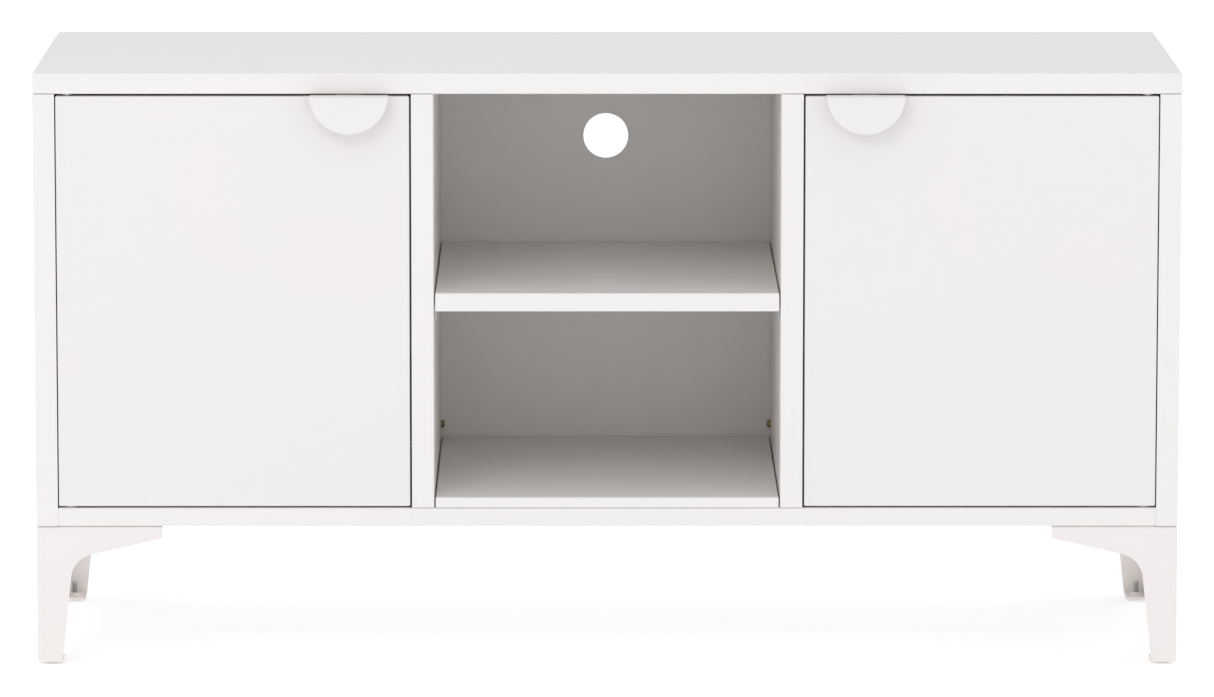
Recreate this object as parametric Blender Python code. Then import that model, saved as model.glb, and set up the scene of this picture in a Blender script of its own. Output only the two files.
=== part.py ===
"""A TV stand with two hinged doors: folded sheet steel panels on four corner legs.

Metres. The origin is on the floor, under the middle of the whole box (handles included).
+X is the viewer's right, +Y the back, +Z up. Every panel is one folded sheet, a pan.
"""

import math
from dataclasses import dataclass

import bmesh
import bpy
from mathutils import Matrix, Vector

# ---- driving sizes ---------------------------------------------------------------------
BODY_WIDTH = 1.200
BODY_DEPTH = 0.418
TOTAL_HEIGHT = 0.627
UNDER_CLEARANCE = 0.148  # floor to the underside of the body
PANEL = 0.0008  # sheet of every body panel and door
PANEL_BEND = 0.0018  # outside radius of a panel's folds
BEND_STEPS = 2
FIT = 0.0003  # gap between two pieces that touch

TOP_BAND = 0.0220  # height of the top panel's folded edge
TOP_LIP = 0.0300  # fold under the band, which carries the door pivots
BOTTOM_BAND = 0.0195
BOTTOM_LIP = 0.0150
SIDE_RETURN = 0.0228  # front strip of a side panel
UPRIGHT_RETURN = 0.0234
REAR_RETURN = 0.0200
END_FOLD = 0.0180  # folds at the top and foot of a side panel or upright
END_TRIM = 0.0050
RELIEF = 0.0030  # depth of the cut at the end of a fold
SLOT = 0.0015  # width of that cut
CENTRE_WIDTH = 0.3632  # clear width between the two uprights

DOOR_HINGE_GAP = 0.0010  # side panel's front strip to the door
DOOR_FREE_GAP = 0.0018  # upright's front strip to the door
DOOR_FOOT_GAP = 0.0018
DOOR_TOP_GAP = 0.0024  # takes the handle's tab and its rivets
DOOR_DEPTH = 0.0180
DOOR_LIP = 0.0120
DOOR_RIB_WIDTH = 0.0600
DOOR_RIB_DEPTH = 0.0110
DOOR_RIB_FOOT = 0.0120
DOOR_RIB_MARGIN = 0.0250  # from the door's top and bottom to the rib's ends

PIVOT_INSET = 0.0120  # from the door's outer edge to its pivot axis
PIVOT_SETBACK = 0.0090  # from the door's face to its pivot axis
PIN_RADIUS = 0.0030
PIN_HEAD_RADIUS = 0.0045
PIN_HEAD = 0.0015
PIN_REACH = 0.0045  # how far the pin runs into its bush
BUSH_RADIUS = 0.0045
BUSH_COLLAR_RADIUS = 0.0058
BUSH_COLLAR = 0.0008
BUSH_LENGTH = 0.0062
BUSH_END = 0.0010

HANDLE_WIDTH = 0.0820
HANDLE_HEIGHT = 0.0390
HANDLE_REACH = 0.0215  # door face to the front of the handle
HANDLE_INSET = 0.0627  # door's free edge to the handle's middle
HANDLE_SHEET = 0.0010
HANDLE_BEND = 0.0020
HANDLE_TAB_WIDTH = 0.0280
HANDLE_TAB = 0.0130  # how far the tab lies back over the door's top
HANDLE_STEPS = 28
RIVET_RADIUS = 0.0015
RIVET_HEAD_RADIUS = 0.0028
RIVET_HEAD = 0.0005
RIVET_SPACING = 0.0160
RIVET_SETBACK = 0.0075

CENTRE_SHELF_RISE = 0.2278  # bottom panel to the top of the middle shelf
SIDE_SHELF_RISE = 0.1780
SHELF_EDGE = 0.0195
SHELF_LIP = 0.0100
SHELF_GAP = 0.0013
SHELF_SETBACK = 0.0200  # from the back of a door to the shelf behind it
CENTRE_FLOOR_RISE = 0.0113

CLIP_LEDGE = 0.0120
CLIP_DROP = 0.0140
CLIP_SHEET = 0.0015
CLIP_WIDTH = 0.0120
CLIP_TONGUE = 0.0035  # how far the tongue reaches through the wall
CLIP_TONGUE_DROP = 0.0070
CLIP_FROM_EDGE = 0.0450  # shelf's front or back edge to the middle of a clip

CABLE_HOLE_RADIUS = 0.0245
CABLE_HOLE_RISE = 0.3454  # bottom panel to the middle of the hole

CATCH_WIDTH = 0.0400
CATCH_DEPTH = 0.0120
CATCH_HEIGHT = 0.0140
CATCH_INSET = 0.0350  # door's free edge to the middle of the catch
CATCH_ROUND = 0.0012

LEG_SHEET = 0.0020
LEG_BEND = 0.0030
LEG_FOOT_WIDTH = 0.0262
LEG_FOOT_DEPTH = 0.0390
LEG_TAPER = 0.108  # widening of a leg per unit of height
GUSSET_LENGTH = 0.1325
GUSSET_END = 0.0125
GUSSET_SLOPE = 0.231
GUSSET_FILLET = 0.0280
FILLET_STEPS = 8
LEG_TOP_FOLD = 0.0200
LEG_BOLT_ALONG = 0.0700  # side of the body to the bolt
LEG_BOLT_SETBACK = 0.0095

FOOT_PAD_RADIUS = 0.0100
FOOT_PAD = 0.0020
FOOT_STUD_RADIUS = 0.0030
FOOT_STUD = 0.0200
FOOT_ROUND = 0.0008
FOOT_IN = 0.0140  # side of the leg to the stud
FOOT_BACK = 0.0190  # front of the leg to the stud
NUT_RADIUS = 0.0055
NUT_HEIGHT = 0.0040

BOLT_RADIUS = 0.0022
BOLT_HEAD_RADIUS = 0.0043
BOLT_HEAD = 0.0040
BOLT_LENGTH = 0.0100
BOLT_CROWN = 0.60  # flat middle of the head, as a share of its radius
BOLT_SHOULDER = 0.55  # height of the head's straight side, as a share of its height
REAR_BOLT_RISE = 0.0275  # bottom panel to the bolt
REAR_BOLT_SETBACK = 0.0140  # back of the upright to the bolt

# ---- places that follow from them ------------------------------------------------------
FRONT = HANDLE_REACH - (BODY_DEPTH + HANDLE_REACH) / 2
BACK = FRONT + BODY_DEPTH
MIDDLE_Y = (FRONT + BACK) / 2
BODY_FOOT = UNDER_CLEARANCE
FLOOR = BODY_FOOT + BOTTOM_BAND  # upper face of the bottom panel
BAND_FOOT = TOTAL_HEIGHT - TOP_BAND
WALL_TOP = BAND_FOOT - FIT
WALL_FOOT = FLOOR + FIT
BACK_PANEL_REAR = BACK - PANEL - FIT
BACK_PANEL_FRONT = BACK_PANEL_REAR - PANEL
UPRIGHT_REAR = BACK_PANEL_FRONT - FIT
CORNER = PANEL_BEND - PANEL + FIT  # keeps a square edge clear of the inside of a fold
INNER_HALF = BODY_WIDTH / 2 - PANEL  # inner face of a side panel
UPRIGHT_FACE = CENTRE_WIDTH / 2
UPRIGHT_BACK_FACE = UPRIGHT_FACE + PANEL

DOOR_FREE_EDGE = UPRIGHT_FACE + UPRIGHT_RETURN + DOOR_FREE_GAP
DOOR_HINGE_EDGE = BODY_WIDTH / 2 - SIDE_RETURN - DOOR_HINGE_GAP
DOOR_FOOT = FLOOR + DOOR_FOOT_GAP
DOOR_TOP = BAND_FOOT - DOOR_TOP_GAP
PIVOT_X = DOOR_HINGE_EDGE - PIVOT_INSET
PIVOT_Y = FRONT + PIVOT_SETBACK
HANDLE_X = DOOR_FREE_EDGE + HANDLE_INSET
HANDLE_TOP = DOOR_TOP + FIT + HANDLE_SHEET

LEG_TOP = BODY_FOOT - FIT
LEG_BASE = FOOT_PAD + FIT

SHELF_UNDER_CENTRE = FLOOR + CENTRE_SHELF_RISE - SHELF_EDGE
SHELF_UNDER_SIDE = FLOOR + SIDE_SHELF_RISE - SHELF_EDGE
CENTRE_SHELF_BACK = BACK_PANEL_FRONT - SHELF_GAP
SIDE_SHELF_FRONT = FRONT + DOOR_DEPTH + SHELF_SETBACK
SIDE_SHELF_BACK = UPRIGHT_REAR - PANEL - SHELF_GAP

RIGHT = Vector((1, 0, 0))
BACKWARD = Vector((0, 1, 0))
UP = Vector((0, 0, 1))
SIDES = (("left", -1), ("right", 1))
ENDS = (("front", -1), ("rear", 1))


# ---- materials -------------------------------------------------------------------------
def material(name, colour, roughness, metallic=0.0):
    """A Principled material of this name, made once."""
    found = bpy.data.materials.get(name)
    if found:
        return found
    made = bpy.data.materials.new(name)
    made.use_nodes = True
    shader = made.node_tree.nodes["Principled BSDF"]
    shader.inputs["Base Color"].default_value = (*colour, 1.0)
    shader.inputs["Roughness"].default_value = roughness
    shader.inputs["Metallic"].default_value = metallic
    return made


def white_panel_coat():
    return material("white_panel_coat", (0.80, 0.78, 0.78), 0.42)


def white_door_coat():
    return material("white_door_coat", (0.81, 0.78, 0.78), 0.40)


def white_leg_coat():
    return material("white_leg_coat", (0.82, 0.79, 0.76), 0.42)


def zinc_plate():
    return material("zinc_plate", (0.66, 0.66, 0.64), 0.35, 1.0)


def yellow_zinc():
    return material("yellow_zinc", (0.34, 0.29, 0.17), 0.45, 1.0)


def white_nylon():
    return material("white_nylon", (0.80, 0.80, 0.78), 0.50)


def grey_plastic():
    return material("grey_plastic", (0.52, 0.52, 0.52), 0.45)


# ---- mesh helpers ----------------------------------------------------------------------
def add_object(name, bm, finish):
    """An object from this bmesh, linked to the scene."""
    mesh = bpy.data.meshes.new(name)
    bm.to_mesh(mesh)
    bm.free()
    mesh.materials.append(finish)
    made = bpy.data.objects.new(name, mesh)
    bpy.context.scene.collection.objects.link(made)
    return made


def folded_sheet(name, faces, finish, sheet, bend):
    """A folded sheet from its outer faces, each given as (corners, outward direction).

    Faces that share an edge are joined there. Bends are rounded, then the sheet is thickened inwards.
    """
    bm = bmesh.new()
    points = {}
    for corners, outward in faces:
        ring = []
        for corner in corners:
            key = tuple(round(value, 6) for value in corner)
            if key not in points:
                points[key] = bm.verts.new(corner)
            if not ring or points[key] is not ring[-1]:
                ring.append(points[key])
        face = bm.faces.new(ring)
        face.normal_update()
        if face.normal.dot(outward) < 0:
            face.normal_flip()
    made = add_object(name, bm, finish)
    rounding = made.modifiers.new("Bends", "BEVEL")
    rounding.width = bend
    rounding.segments = BEND_STEPS
    rounding.limit_method = "ANGLE"
    rounding.angle_limit = math.radians(20)
    thickness = made.modifiers.new("Sheet", "SOLIDIFY")
    thickness.thickness = sheet
    thickness.offset = -1.0
    thickness.use_even_offset = True
    thickness.use_quality_normals = True
    return made


@dataclass
class Fold:
    """A strip folded down along one edge of a pan, with a lip folded in under it."""

    depth: float
    lip: float = 0.0
    trim: float = 0.0  # cut off each end of the strip
    relief: float = 0.0  # depth of the cut into the sheet beside a trimmed end
    slot: float = 0.0  # width of that cut, or 0 where it runs on to the corner

    @property
    def recess(self):
        return self.relief if self.trim and not self.slot else 0.0


def pan(name, centre, size, normal, up, folds, finish):
    """A sheet folded down along its edges. Its outer face is at centre and looks along normal.

    folds maps a world direction, as a tuple, to the Fold along the edge on that side.
    """
    turn = Matrix((up.cross(normal), up, normal)).transposed().to_4x4()
    outward = (Vector((1, 0, 0)), Vector((0, 1, 0)), Vector((-1, 0, 0)), Vector((0, -1, 0)))
    half = (size[0] / 2, size[1] / 2, size[0] / 2, size[1] / 2)
    none = Fold(0.0)
    at = [folds.get(tuple(round(v) for v in turn @ side), none) for side in outward]
    outline = []
    faces = []
    for i, side in enumerate(outward):
        after, before = (i + 1) % 4, (i - 1) % 4
        along = outward[after]
        edge = side * half[i]
        start = edge - along * half[before]
        end = edge + along * half[after]
        fold = at[i]
        corner_start = start + along * at[before].recess - side * fold.recess
        corner_end = end - along * at[after].recess - side * fold.recess
        outline.append(corner_start)
        if fold.trim:
            fold_start = start + along * fold.trim
            fold_end = end - along * fold.trim
            inward = side * -fold.relief
            if fold.slot:
                outline.append(fold_start - along * fold.slot)
                outline.append(fold_start - along * fold.slot + inward)
            outline += [fold_start + inward, fold_start, fold_end, fold_end + inward]
            if fold.slot:
                outline.append(fold_end + along * fold.slot + inward)
                outline.append(fold_end + along * fold.slot)
        else:
            fold_start, fold_end = corner_start, corner_end
            outline.append(corner_end)
        if fold.depth:
            down = Vector((0, 0, -fold.depth))
            low_start, low_end = fold_start + down, fold_end + down
            faces.append(((fold_start, fold_end, low_end, low_start), side))
        if fold.lip:
            lip_start = low_start + (along - side) * fold.lip
            lip_end = low_end - (along + side) * fold.lip
            faces.append(((low_start, low_end, lip_end, lip_start), Vector((0, 0, -1))))
    if (outline[0] - outline[-1]).length < 1e-7:
        outline.pop()
    faces.append((outline, Vector((0, 0, 1))))
    made = folded_sheet(name, faces, finish, PANEL, PANEL_BEND)
    made.matrix_world = Matrix.Translation(centre) @ turn
    return made


def turned(name, profile, finish, steps=20):
    """A turned piece about its own Z axis, from (radius, height) points that close on the axis."""
    bm = bmesh.new()
    verts = [bm.verts.new((radius, 0, height)) for radius, height in profile]
    edges = [bm.edges.new(pair) for pair in zip(verts, verts[1:])]
    bmesh.ops.spin(
        bm,
        geom=verts + edges,
        cent=(0, 0, 0),
        axis=(0, 0, 1),
        angle=math.tau,
        steps=steps,
        use_merge=True,
    )
    bmesh.ops.remove_doubles(bm, verts=bm.verts, dist=1e-6)
    bmesh.ops.recalc_face_normals(bm, faces=bm.faces)
    made = add_object(name, bm, finish)
    made.data.shade_smooth()
    made.data.set_sharp_from_angle(angle=math.radians(35))
    return made


def extruded(name, outline, width, finish):
    """A prism from an (x, z) outline, of this width along Y about its middle."""
    bm = bmesh.new()
    near = [bm.verts.new((x, -width / 2, z)) for x, z in outline]
    face = bm.faces.new(near)
    pushed = bmesh.ops.extrude_face_region(bm, geom=[face])
    moved = [item for item in pushed["geom"] if isinstance(item, bmesh.types.BMVert)]
    bmesh.ops.translate(bm, verts=moved, vec=(0, width, 0))
    bmesh.ops.recalc_face_normals(bm, faces=bm.faces)
    return add_object(name, bm, finish)


def add_cylinder(bm, centre, axis, radius, length, steps):
    """A closed cylinder in bm, its middle at centre."""
    turn = Vector((0, 0, 1)).rotation_difference(axis).to_matrix().to_4x4()
    bmesh.ops.create_cone(
        bm,
        cap_ends=True,
        segments=steps,
        radius1=radius,
        radius2=radius,
        depth=length,
        matrix=Matrix.Translation(centre) @ turn,
    )


def add_block(bm, centre, size):
    """A closed box in bm."""
    scale = Matrix.Diagonal((*size, 1.0))
    bmesh.ops.create_cube(bm, size=1.0, matrix=Matrix.Translation(centre) @ scale)


def helper_shape(name, bm):
    """An operand for a Boolean, which isn't part of the object."""
    made = add_object(name, bm, grey_plastic())
    made.hide_render = True
    made.display_type = "WIRE"
    return made


def combine(target, helper, operation):
    """Cuts the helper shape from target, or joins it on."""
    change = target.modifiers.new(helper.name, "BOOLEAN")
    change.operation = operation
    change.solver = "EXACT"
    change.object = helper


def drill(target, name, centres, axis, radius, length, steps=20):
    """Drills a round hole through target at each centre."""
    bm = bmesh.new()
    for centre in centres:
        add_cylinder(bm, Vector(centre), axis, radius, length, steps)
    combine(target, helper_shape(name, bm), "DIFFERENCE")


def keep_on(parent, child):
    """Parents child where it stands."""
    child.parent = parent
    child.matrix_parent_inverse = Matrix.Translation(parent.location).inverted()


def key(vector):
    """A direction as a pan's folds name it."""
    return tuple(round(value) for value in vector)


# ---- body panels -----------------------------------------------------------------------
def leg_bolt_places():
    """Where each leg's bolt stands, as {(end, side): (x, y)}."""
    return {
        (end, side): (
            sx * (BODY_WIDTH / 2 - LEG_BOLT_ALONG),
            MIDDLE_Y + sy * (BODY_DEPTH / 2 - LEG_BOLT_SETBACK),
        )
        for end, sy in ENDS
        for side, sx in SIDES
    }


def pivot_places():
    return [(sx * PIVOT_X, PIVOT_Y) for _, sx in SIDES]


def end_fold():
    """The fold at the top or foot of a side panel or upright, clear of its front and rear folds."""
    return Fold(END_FOLD, trim=END_TRIM, relief=RELIEF, slot=SLOT)


def make_top_panel():
    band = Fold(TOP_BAND, lip=TOP_LIP)
    made = pan(
        "top_panel",
        (0, MIDDLE_Y, TOTAL_HEIGHT),
        (BODY_WIDTH, BODY_DEPTH),
        UP,
        BACKWARD,
        {key(way): band for way in (RIGHT, -RIGHT, BACKWARD, -BACKWARD)},
        white_panel_coat(),
    )
    holes = [(x, y, BAND_FOOT + PANEL / 2) for x, y in pivot_places()]
    drill(made, "top_bush_holes", holes, UP, BUSH_RADIUS + FIT, 4 * PANEL)


def make_bottom_panel():
    front = Fold(BOTTOM_BAND, BOTTOM_LIP, SIDE_RETURN - PANEL, RELIEF)
    rear = Fold(BOTTOM_BAND, BOTTOM_LIP, REAR_RETURN - PANEL, RELIEF)
    end = Fold(BOTTOM_BAND - PANEL - CORNER, trim=2 * END_TRIM, relief=RELIEF, slot=SLOT)
    made = pan(
        "bottom_panel",
        (0, MIDDLE_Y, FLOOR),
        (2 * (INNER_HALF - FIT), BODY_DEPTH),
        UP,
        BACKWARD,
        {key(-BACKWARD): front, key(BACKWARD): rear, key(RIGHT): end, key(-RIGHT): end},
        white_panel_coat(),
    )
    bushes = [(x, y, FLOOR - PANEL / 2) for x, y in pivot_places()]
    drill(made, "bottom_bush_holes", bushes, UP, BUSH_RADIUS + FIT, 4 * PANEL)
    bolts = [(x, y, BODY_FOOT + PANEL / 2) for x, y in leg_bolt_places().values()]
    drill(made, "leg_bolt_holes", bolts, UP, BOLT_RADIUS + FIT, 4 * PANEL, 12)


def clip_rows(front, back):
    """The Y of the front and the rear clip of a shelf."""
    return {"front": front + CLIP_FROM_EDGE, "rear": back - CLIP_FROM_EDGE}


def make_side_panel(side, sx):
    pan(
        f"{side}_side_panel",
        (sx * BODY_WIDTH / 2, MIDDLE_Y, (BODY_FOOT + WALL_TOP) / 2),
        (BODY_DEPTH, WALL_TOP - BODY_FOOT),
        RIGHT * sx,
        UP,
        {
            key(-BACKWARD): Fold(SIDE_RETURN),
            key(BACKWARD): Fold(REAR_RETURN),
            key(UP): end_fold(),
            key(-UP): end_fold(),
        },
        white_panel_coat(),
    )


def make_upright(side, sx):
    made = pan(
        f"{side}_upright",
        (sx * UPRIGHT_FACE, (FRONT + UPRIGHT_REAR) / 2, (WALL_FOOT + WALL_TOP) / 2),
        (UPRIGHT_REAR - FRONT, WALL_TOP - WALL_FOOT),
        RIGHT * -sx,
        UP,
        {
            key(-BACKWARD): Fold(UPRIGHT_RETURN),
            key(BACKWARD): Fold(REAR_RETURN),
            key(UP): end_fold(),
            key(-UP): end_fold(),
        },
        white_panel_coat(),
    )
    bm = bmesh.new()
    web = sx * UPRIGHT_FACE
    slot = (6 * PANEL, CLIP_WIDTH + 2 * FIT, CLIP_SHEET + 2 * FIT)
    slot_z = SHELF_UNDER_CENTRE - FIT - CLIP_TONGUE_DROP - CLIP_SHEET / 2
    for y in clip_rows(FRONT, CENTRE_SHELF_BACK).values():
        add_block(bm, (web, y, slot_z), slot)
    bolt = Vector((web, UPRIGHT_REAR - REAR_BOLT_SETBACK, FLOOR + REAR_BOLT_RISE))
    add_cylinder(bm, bolt, RIGHT, BOLT_RADIUS + FIT, 6 * PANEL, 12)
    combine(made, helper_shape(f"{side}_upright_slots", bm), "DIFFERENCE")


def make_back_panel():
    made = pan(
        "back_panel",
        (0, BACK_PANEL_REAR, (WALL_FOOT + WALL_TOP) / 2),
        (2 * (INNER_HALF - CORNER), WALL_TOP - WALL_FOOT),
        BACKWARD,
        UP,
        {},
        white_panel_coat(),
    )
    hole = (0, BACK_PANEL_REAR - PANEL / 2, FLOOR + CABLE_HOLE_RISE)
    drill(made, "cable_hole", [hole], BACKWARD, CABLE_HOLE_RADIUS, 6 * PANEL, 48)


def make_shelf(name, x0, x1, y0, y1, top, edge, lip):
    """A shelf or raised floor: a pan turned down on all four sides."""
    fold = Fold(edge, lip=lip)
    pan(
        name,
        ((x0 + x1) / 2, (y0 + y1) / 2, top),
        (x1 - x0, y1 - y0),
        UP,
        BACKWARD,
        {key(way): fold for way in (RIGHT, -RIGHT, BACKWARD, -BACKWARD)},
        white_panel_coat(),
    )


def make_clip(name, wall_x, way, y, under, hooked):
    """A folded steel clip on the wall at wall_x. Its ledge reaches along way, under a shelf's edge.

    A hooked clip has a tongue through a slot in the wall. The others are welded on.
    """
    outline = [
        (0, 0),
        (CLIP_LEDGE, 0),
        (CLIP_LEDGE, -CLIP_SHEET),
        (CLIP_SHEET, -CLIP_SHEET),
        (CLIP_SHEET, -CLIP_DROP),
        (0, -CLIP_DROP),
    ]
    if hooked:
        outline += [
            (0, -CLIP_TONGUE_DROP - CLIP_SHEET),
            (-CLIP_TONGUE, -CLIP_TONGUE_DROP - CLIP_SHEET),
            (-CLIP_TONGUE, -CLIP_TONGUE_DROP),
            (0, -CLIP_TONGUE_DROP),
        ]
    made = extruded(name, [(way * x, z) for x, z in outline], CLIP_WIDTH, zinc_plate())
    made.location = (wall_x + way * FIT, y, under - FIT)


def make_shelves():
    half = UPRIGHT_FACE - SHELF_GAP
    make_shelf(
        "centre_floor",
        -half,
        half,
        FRONT,
        CENTRE_SHELF_BACK,
        FLOOR + CENTRE_FLOOR_RISE,
        CENTRE_FLOOR_RISE - FIT,
        0.0,
    )
    make_shelf(
        "centre_shelf",
        -half,
        half,
        FRONT,
        CENTRE_SHELF_BACK,
        FLOOR + CENTRE_SHELF_RISE,
        SHELF_EDGE,
        SHELF_LIP,
    )
    for end, y in clip_rows(FRONT, CENTRE_SHELF_BACK).items():
        for side, sx in SIDES:
            name = f"centre_shelf_clip_{end}_{side}"
            make_clip(name, sx * UPRIGHT_FACE, -sx, y, SHELF_UNDER_CENTRE, hooked=True)
    for side, sx in SIDES:
        inner = sx * (UPRIGHT_BACK_FACE + SHELF_GAP)
        outer = sx * (INNER_HALF - SHELF_GAP)
        make_shelf(
            f"{side}_cabinet_shelf",
            min(inner, outer),
            max(inner, outer),
            SIDE_SHELF_FRONT,
            SIDE_SHELF_BACK,
            FLOOR + SIDE_SHELF_RISE,
            SHELF_EDGE,
            SHELF_LIP,
        )
        for end, y in clip_rows(SIDE_SHELF_FRONT, SIDE_SHELF_BACK).items():
            name = f"{side}_shelf_clip_{end}"
            make_clip(f"{name}_outer", sx * INNER_HALF, -sx, y, SHELF_UNDER_SIDE, hooked=False)
            make_clip(f"{name}_inner", sx * UPRIGHT_BACK_FACE, sx, y, SHELF_UNDER_SIDE, hooked=False)


def make_bolt(name, place, axis, head_radius):
    """A screw with a low domed head. Its head's seat is at place and its shank runs along axis."""
    profile = (
        (0, -BOLT_HEAD),
        (BOLT_CROWN * head_radius, -BOLT_HEAD),
        (head_radius, -BOLT_SHOULDER * BOLT_HEAD),
        (head_radius, 0),
        (BOLT_RADIUS, 0),
        (BOLT_RADIUS, BOLT_LENGTH),
        (0, BOLT_LENGTH),
    )
    made = turned(name, profile, yellow_zinc(), 16)
    turn = Vector((0, 0, 1)).rotation_difference(axis).to_matrix().to_4x4()
    made.matrix_world = Matrix.Translation(place) @ turn


def make_rear_bolts():
    for side, sx in SIDES:
        seat = (sx * (UPRIGHT_FACE - FIT), UPRIGHT_REAR - REAR_BOLT_SETBACK, FLOOR + REAR_BOLT_RISE)
        make_bolt(f"{side}_upright_bolt", seat, RIGHT * sx, BOLT_HEAD_RADIUS)


# ---- doors -----------------------------------------------------------------------------
def make_door_skin(side, sx):
    fold = Fold(DOOR_DEPTH, lip=DOOR_LIP)
    made = pan(
        f"{side}_door",
        (sx * (DOOR_FREE_EDGE + DOOR_HINGE_EDGE) / 2, FRONT, (DOOR_FOOT + DOOR_TOP) / 2),
        (DOOR_HINGE_EDGE - DOOR_FREE_EDGE, DOOR_TOP - DOOR_FOOT),
        -BACKWARD,
        UP,
        {key(way): fold for way in (RIGHT, -RIGHT, UP, -UP)},
        white_door_coat(),
    )
    pins = [(sx * PIVOT_X, PIVOT_Y, z) for z in (DOOR_FOOT + PANEL / 2, DOOR_TOP - PANEL / 2)]
    drill(made, f"{side}_door_pin_holes", pins, UP, PIN_RADIUS + FIT, 4 * PANEL)
    rivets = [(x, y, DOOR_TOP - PANEL / 2) for x, y in rivet_places(sx)]
    drill(made, f"{side}_door_rivet_holes", rivets, UP, RIVET_RADIUS + FIT, 4 * PANEL, 12)
    return made


def make_door_rib(side, sx):
    """A hat section spot-welded up the middle of the door's inner face."""
    x = sx * (DOOR_FREE_EDGE + DOOR_HINGE_EDGE) / 2
    near = FRONT + PANEL + FIT + PANEL
    far = near + DOOR_RIB_DEPTH
    half = DOOR_RIB_WIDTH / 2
    crown = half - DOOR_RIB_FOOT
    low, high = DOOR_FOOT + DOOR_RIB_MARGIN, DOOR_TOP - DOOR_RIB_MARGIN
    path = ((-half, near), (-crown, near), (-crown, far), (crown, far), (crown, near), (half, near))
    outward = (BACKWARD, -RIGHT, BACKWARD, RIGHT, BACKWARD)
    faces = []
    for (x0, y0), (x1, y1), way in zip(path, path[1:], outward):
        ring = [Vector((x0, y0, low)), Vector((x1, y1, low)), Vector((x1, y1, high)), Vector((x0, y0, high))]
        faces.append((ring, way))
    made = folded_sheet(f"{side}_door_rib", faces, white_door_coat(), PANEL, PANEL_BEND)
    made.location.x = x
    return made


def rivet_places(sx):
    return [
        (sx * HANDLE_X + step * RIVET_SPACING / 2, FRONT + RIVET_SETBACK) for step in (-1, 1)
    ]


def make_handle(side, sx):
    """A half-moon pull: an upright half disc, folded back along its straight top to the door."""
    front = FRONT - HANDLE_REACH
    top = HANDLE_TOP
    half = HANDLE_WIDTH / 2
    radius = (half**2 + HANDLE_HEIGHT**2) / (2 * HANDLE_HEIGHT)
    centre_z = top - HANDLE_HEIGHT + radius
    spread = math.asin(half / radius)
    disc = []
    for i in range(HANDLE_STEPS + 1):
        angle = -spread + 2 * spread * i / HANDLE_STEPS
        disc.append(Vector((radius * math.sin(angle), front, centre_z - radius * math.cos(angle))))
    disc[0].z = disc[-1].z = top
    tab = HANDLE_TAB_WIDTH / 2
    plate = [
        Vector((-half, front, top)),
        Vector((half, front, top)),
        Vector((half, FRONT - FIT, top)),
        Vector((tab, FRONT - FIT, top)),
        Vector((tab, FRONT + HANDLE_TAB, top)),
        Vector((-tab, FRONT + HANDLE_TAB, top)),
        Vector((-tab, FRONT - FIT, top)),
        Vector((-half, FRONT - FIT, top)),
    ]
    faces = [(disc, -BACKWARD), (plate, UP)]
    made = folded_sheet(f"{side}_handle", faces, white_door_coat(), HANDLE_SHEET, HANDLE_BEND)
    made.location.x = sx * HANDLE_X
    holes = [(x, y, top - HANDLE_SHEET / 2) for x, y in rivet_places(sx)]
    drill(made, f"{side}_handle_rivet_holes", holes, UP, RIVET_RADIUS + FIT, 4 * HANDLE_SHEET, 12)
    return made


def make_rivet(name, x, y):
    """A rivet through the handle's tab and the door's top fold, with a flat head at each end."""
    high = HANDLE_TOP + FIT
    low = DOOR_TOP - PANEL - FIT
    profile = (
        (0, high + RIVET_HEAD),
        (RIVET_HEAD_RADIUS, high + RIVET_HEAD),
        (RIVET_HEAD_RADIUS, high),
        (RIVET_RADIUS, high),
        (RIVET_RADIUS, low),
        (RIVET_HEAD_RADIUS, low),
        (RIVET_HEAD_RADIUS, low - RIVET_HEAD),
        (0, low - RIVET_HEAD),
    )
    made = turned(name, profile, white_door_coat(), 12)
    made.location = (x, y, 0)
    return made


def make_pin(name, sx, door_edge, way, wall):
    """A pivot pin through a door's fold at door_edge, running along way into the bush at wall."""
    head = (PANEL + FIT) * -1
    tip = abs(wall - door_edge) + PIN_REACH
    profile = (
        (0, head - PIN_HEAD),
        (PIN_HEAD_RADIUS, head - PIN_HEAD),
        (PIN_HEAD_RADIUS, head),
        (PIN_RADIUS, head),
        (PIN_RADIUS, tip - FIT),
        (PIN_RADIUS - FIT, tip),
        (0, tip),
    )
    made = turned(name, [(r, way * z) for r, z in profile], zinc_plate())
    made.location = (sx * PIVOT_X, PIVOT_Y, door_edge)
    return made


def make_bush(name, sx, wall, way):
    """A nylon cup bush pressed into the panel at wall, its collar on the door's side."""
    seat = -FIT
    profile = (
        (0, BUSH_LENGTH),
        (BUSH_RADIUS, BUSH_LENGTH),
        (BUSH_RADIUS, seat),
        (BUSH_COLLAR_RADIUS, seat),
        (BUSH_COLLAR_RADIUS, seat - BUSH_COLLAR),
        (PIN_RADIUS + FIT, seat - BUSH_COLLAR),
        (PIN_RADIUS + FIT, BUSH_LENGTH - BUSH_END),
        (0, BUSH_LENGTH - BUSH_END),
    )
    made = turned(name, [(r, way * z) for r, z in profile], white_nylon())
    made.location = (sx * PIVOT_X, PIVOT_Y, wall)


def make_catch(side, sx):
    """A magnetic catch under the top panel's lip, its face against the door's upper lip."""
    bm = bmesh.new()
    add_block(bm, (0, 0, 0), (CATCH_WIDTH, CATCH_DEPTH, CATCH_HEIGHT))
    made = add_object(f"{side}_magnet_catch", bm, grey_plastic())
    made.location = (
        sx * (DOOR_FREE_EDGE + CATCH_INSET),
        FRONT + DOOR_DEPTH + FIT + CATCH_DEPTH / 2,
        BAND_FOOT - FIT - CATCH_HEIGHT / 2,
    )
    rounding = made.modifiers.new("Edges", "BEVEL")
    rounding.width = CATCH_ROUND
    rounding.segments = 2


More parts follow.
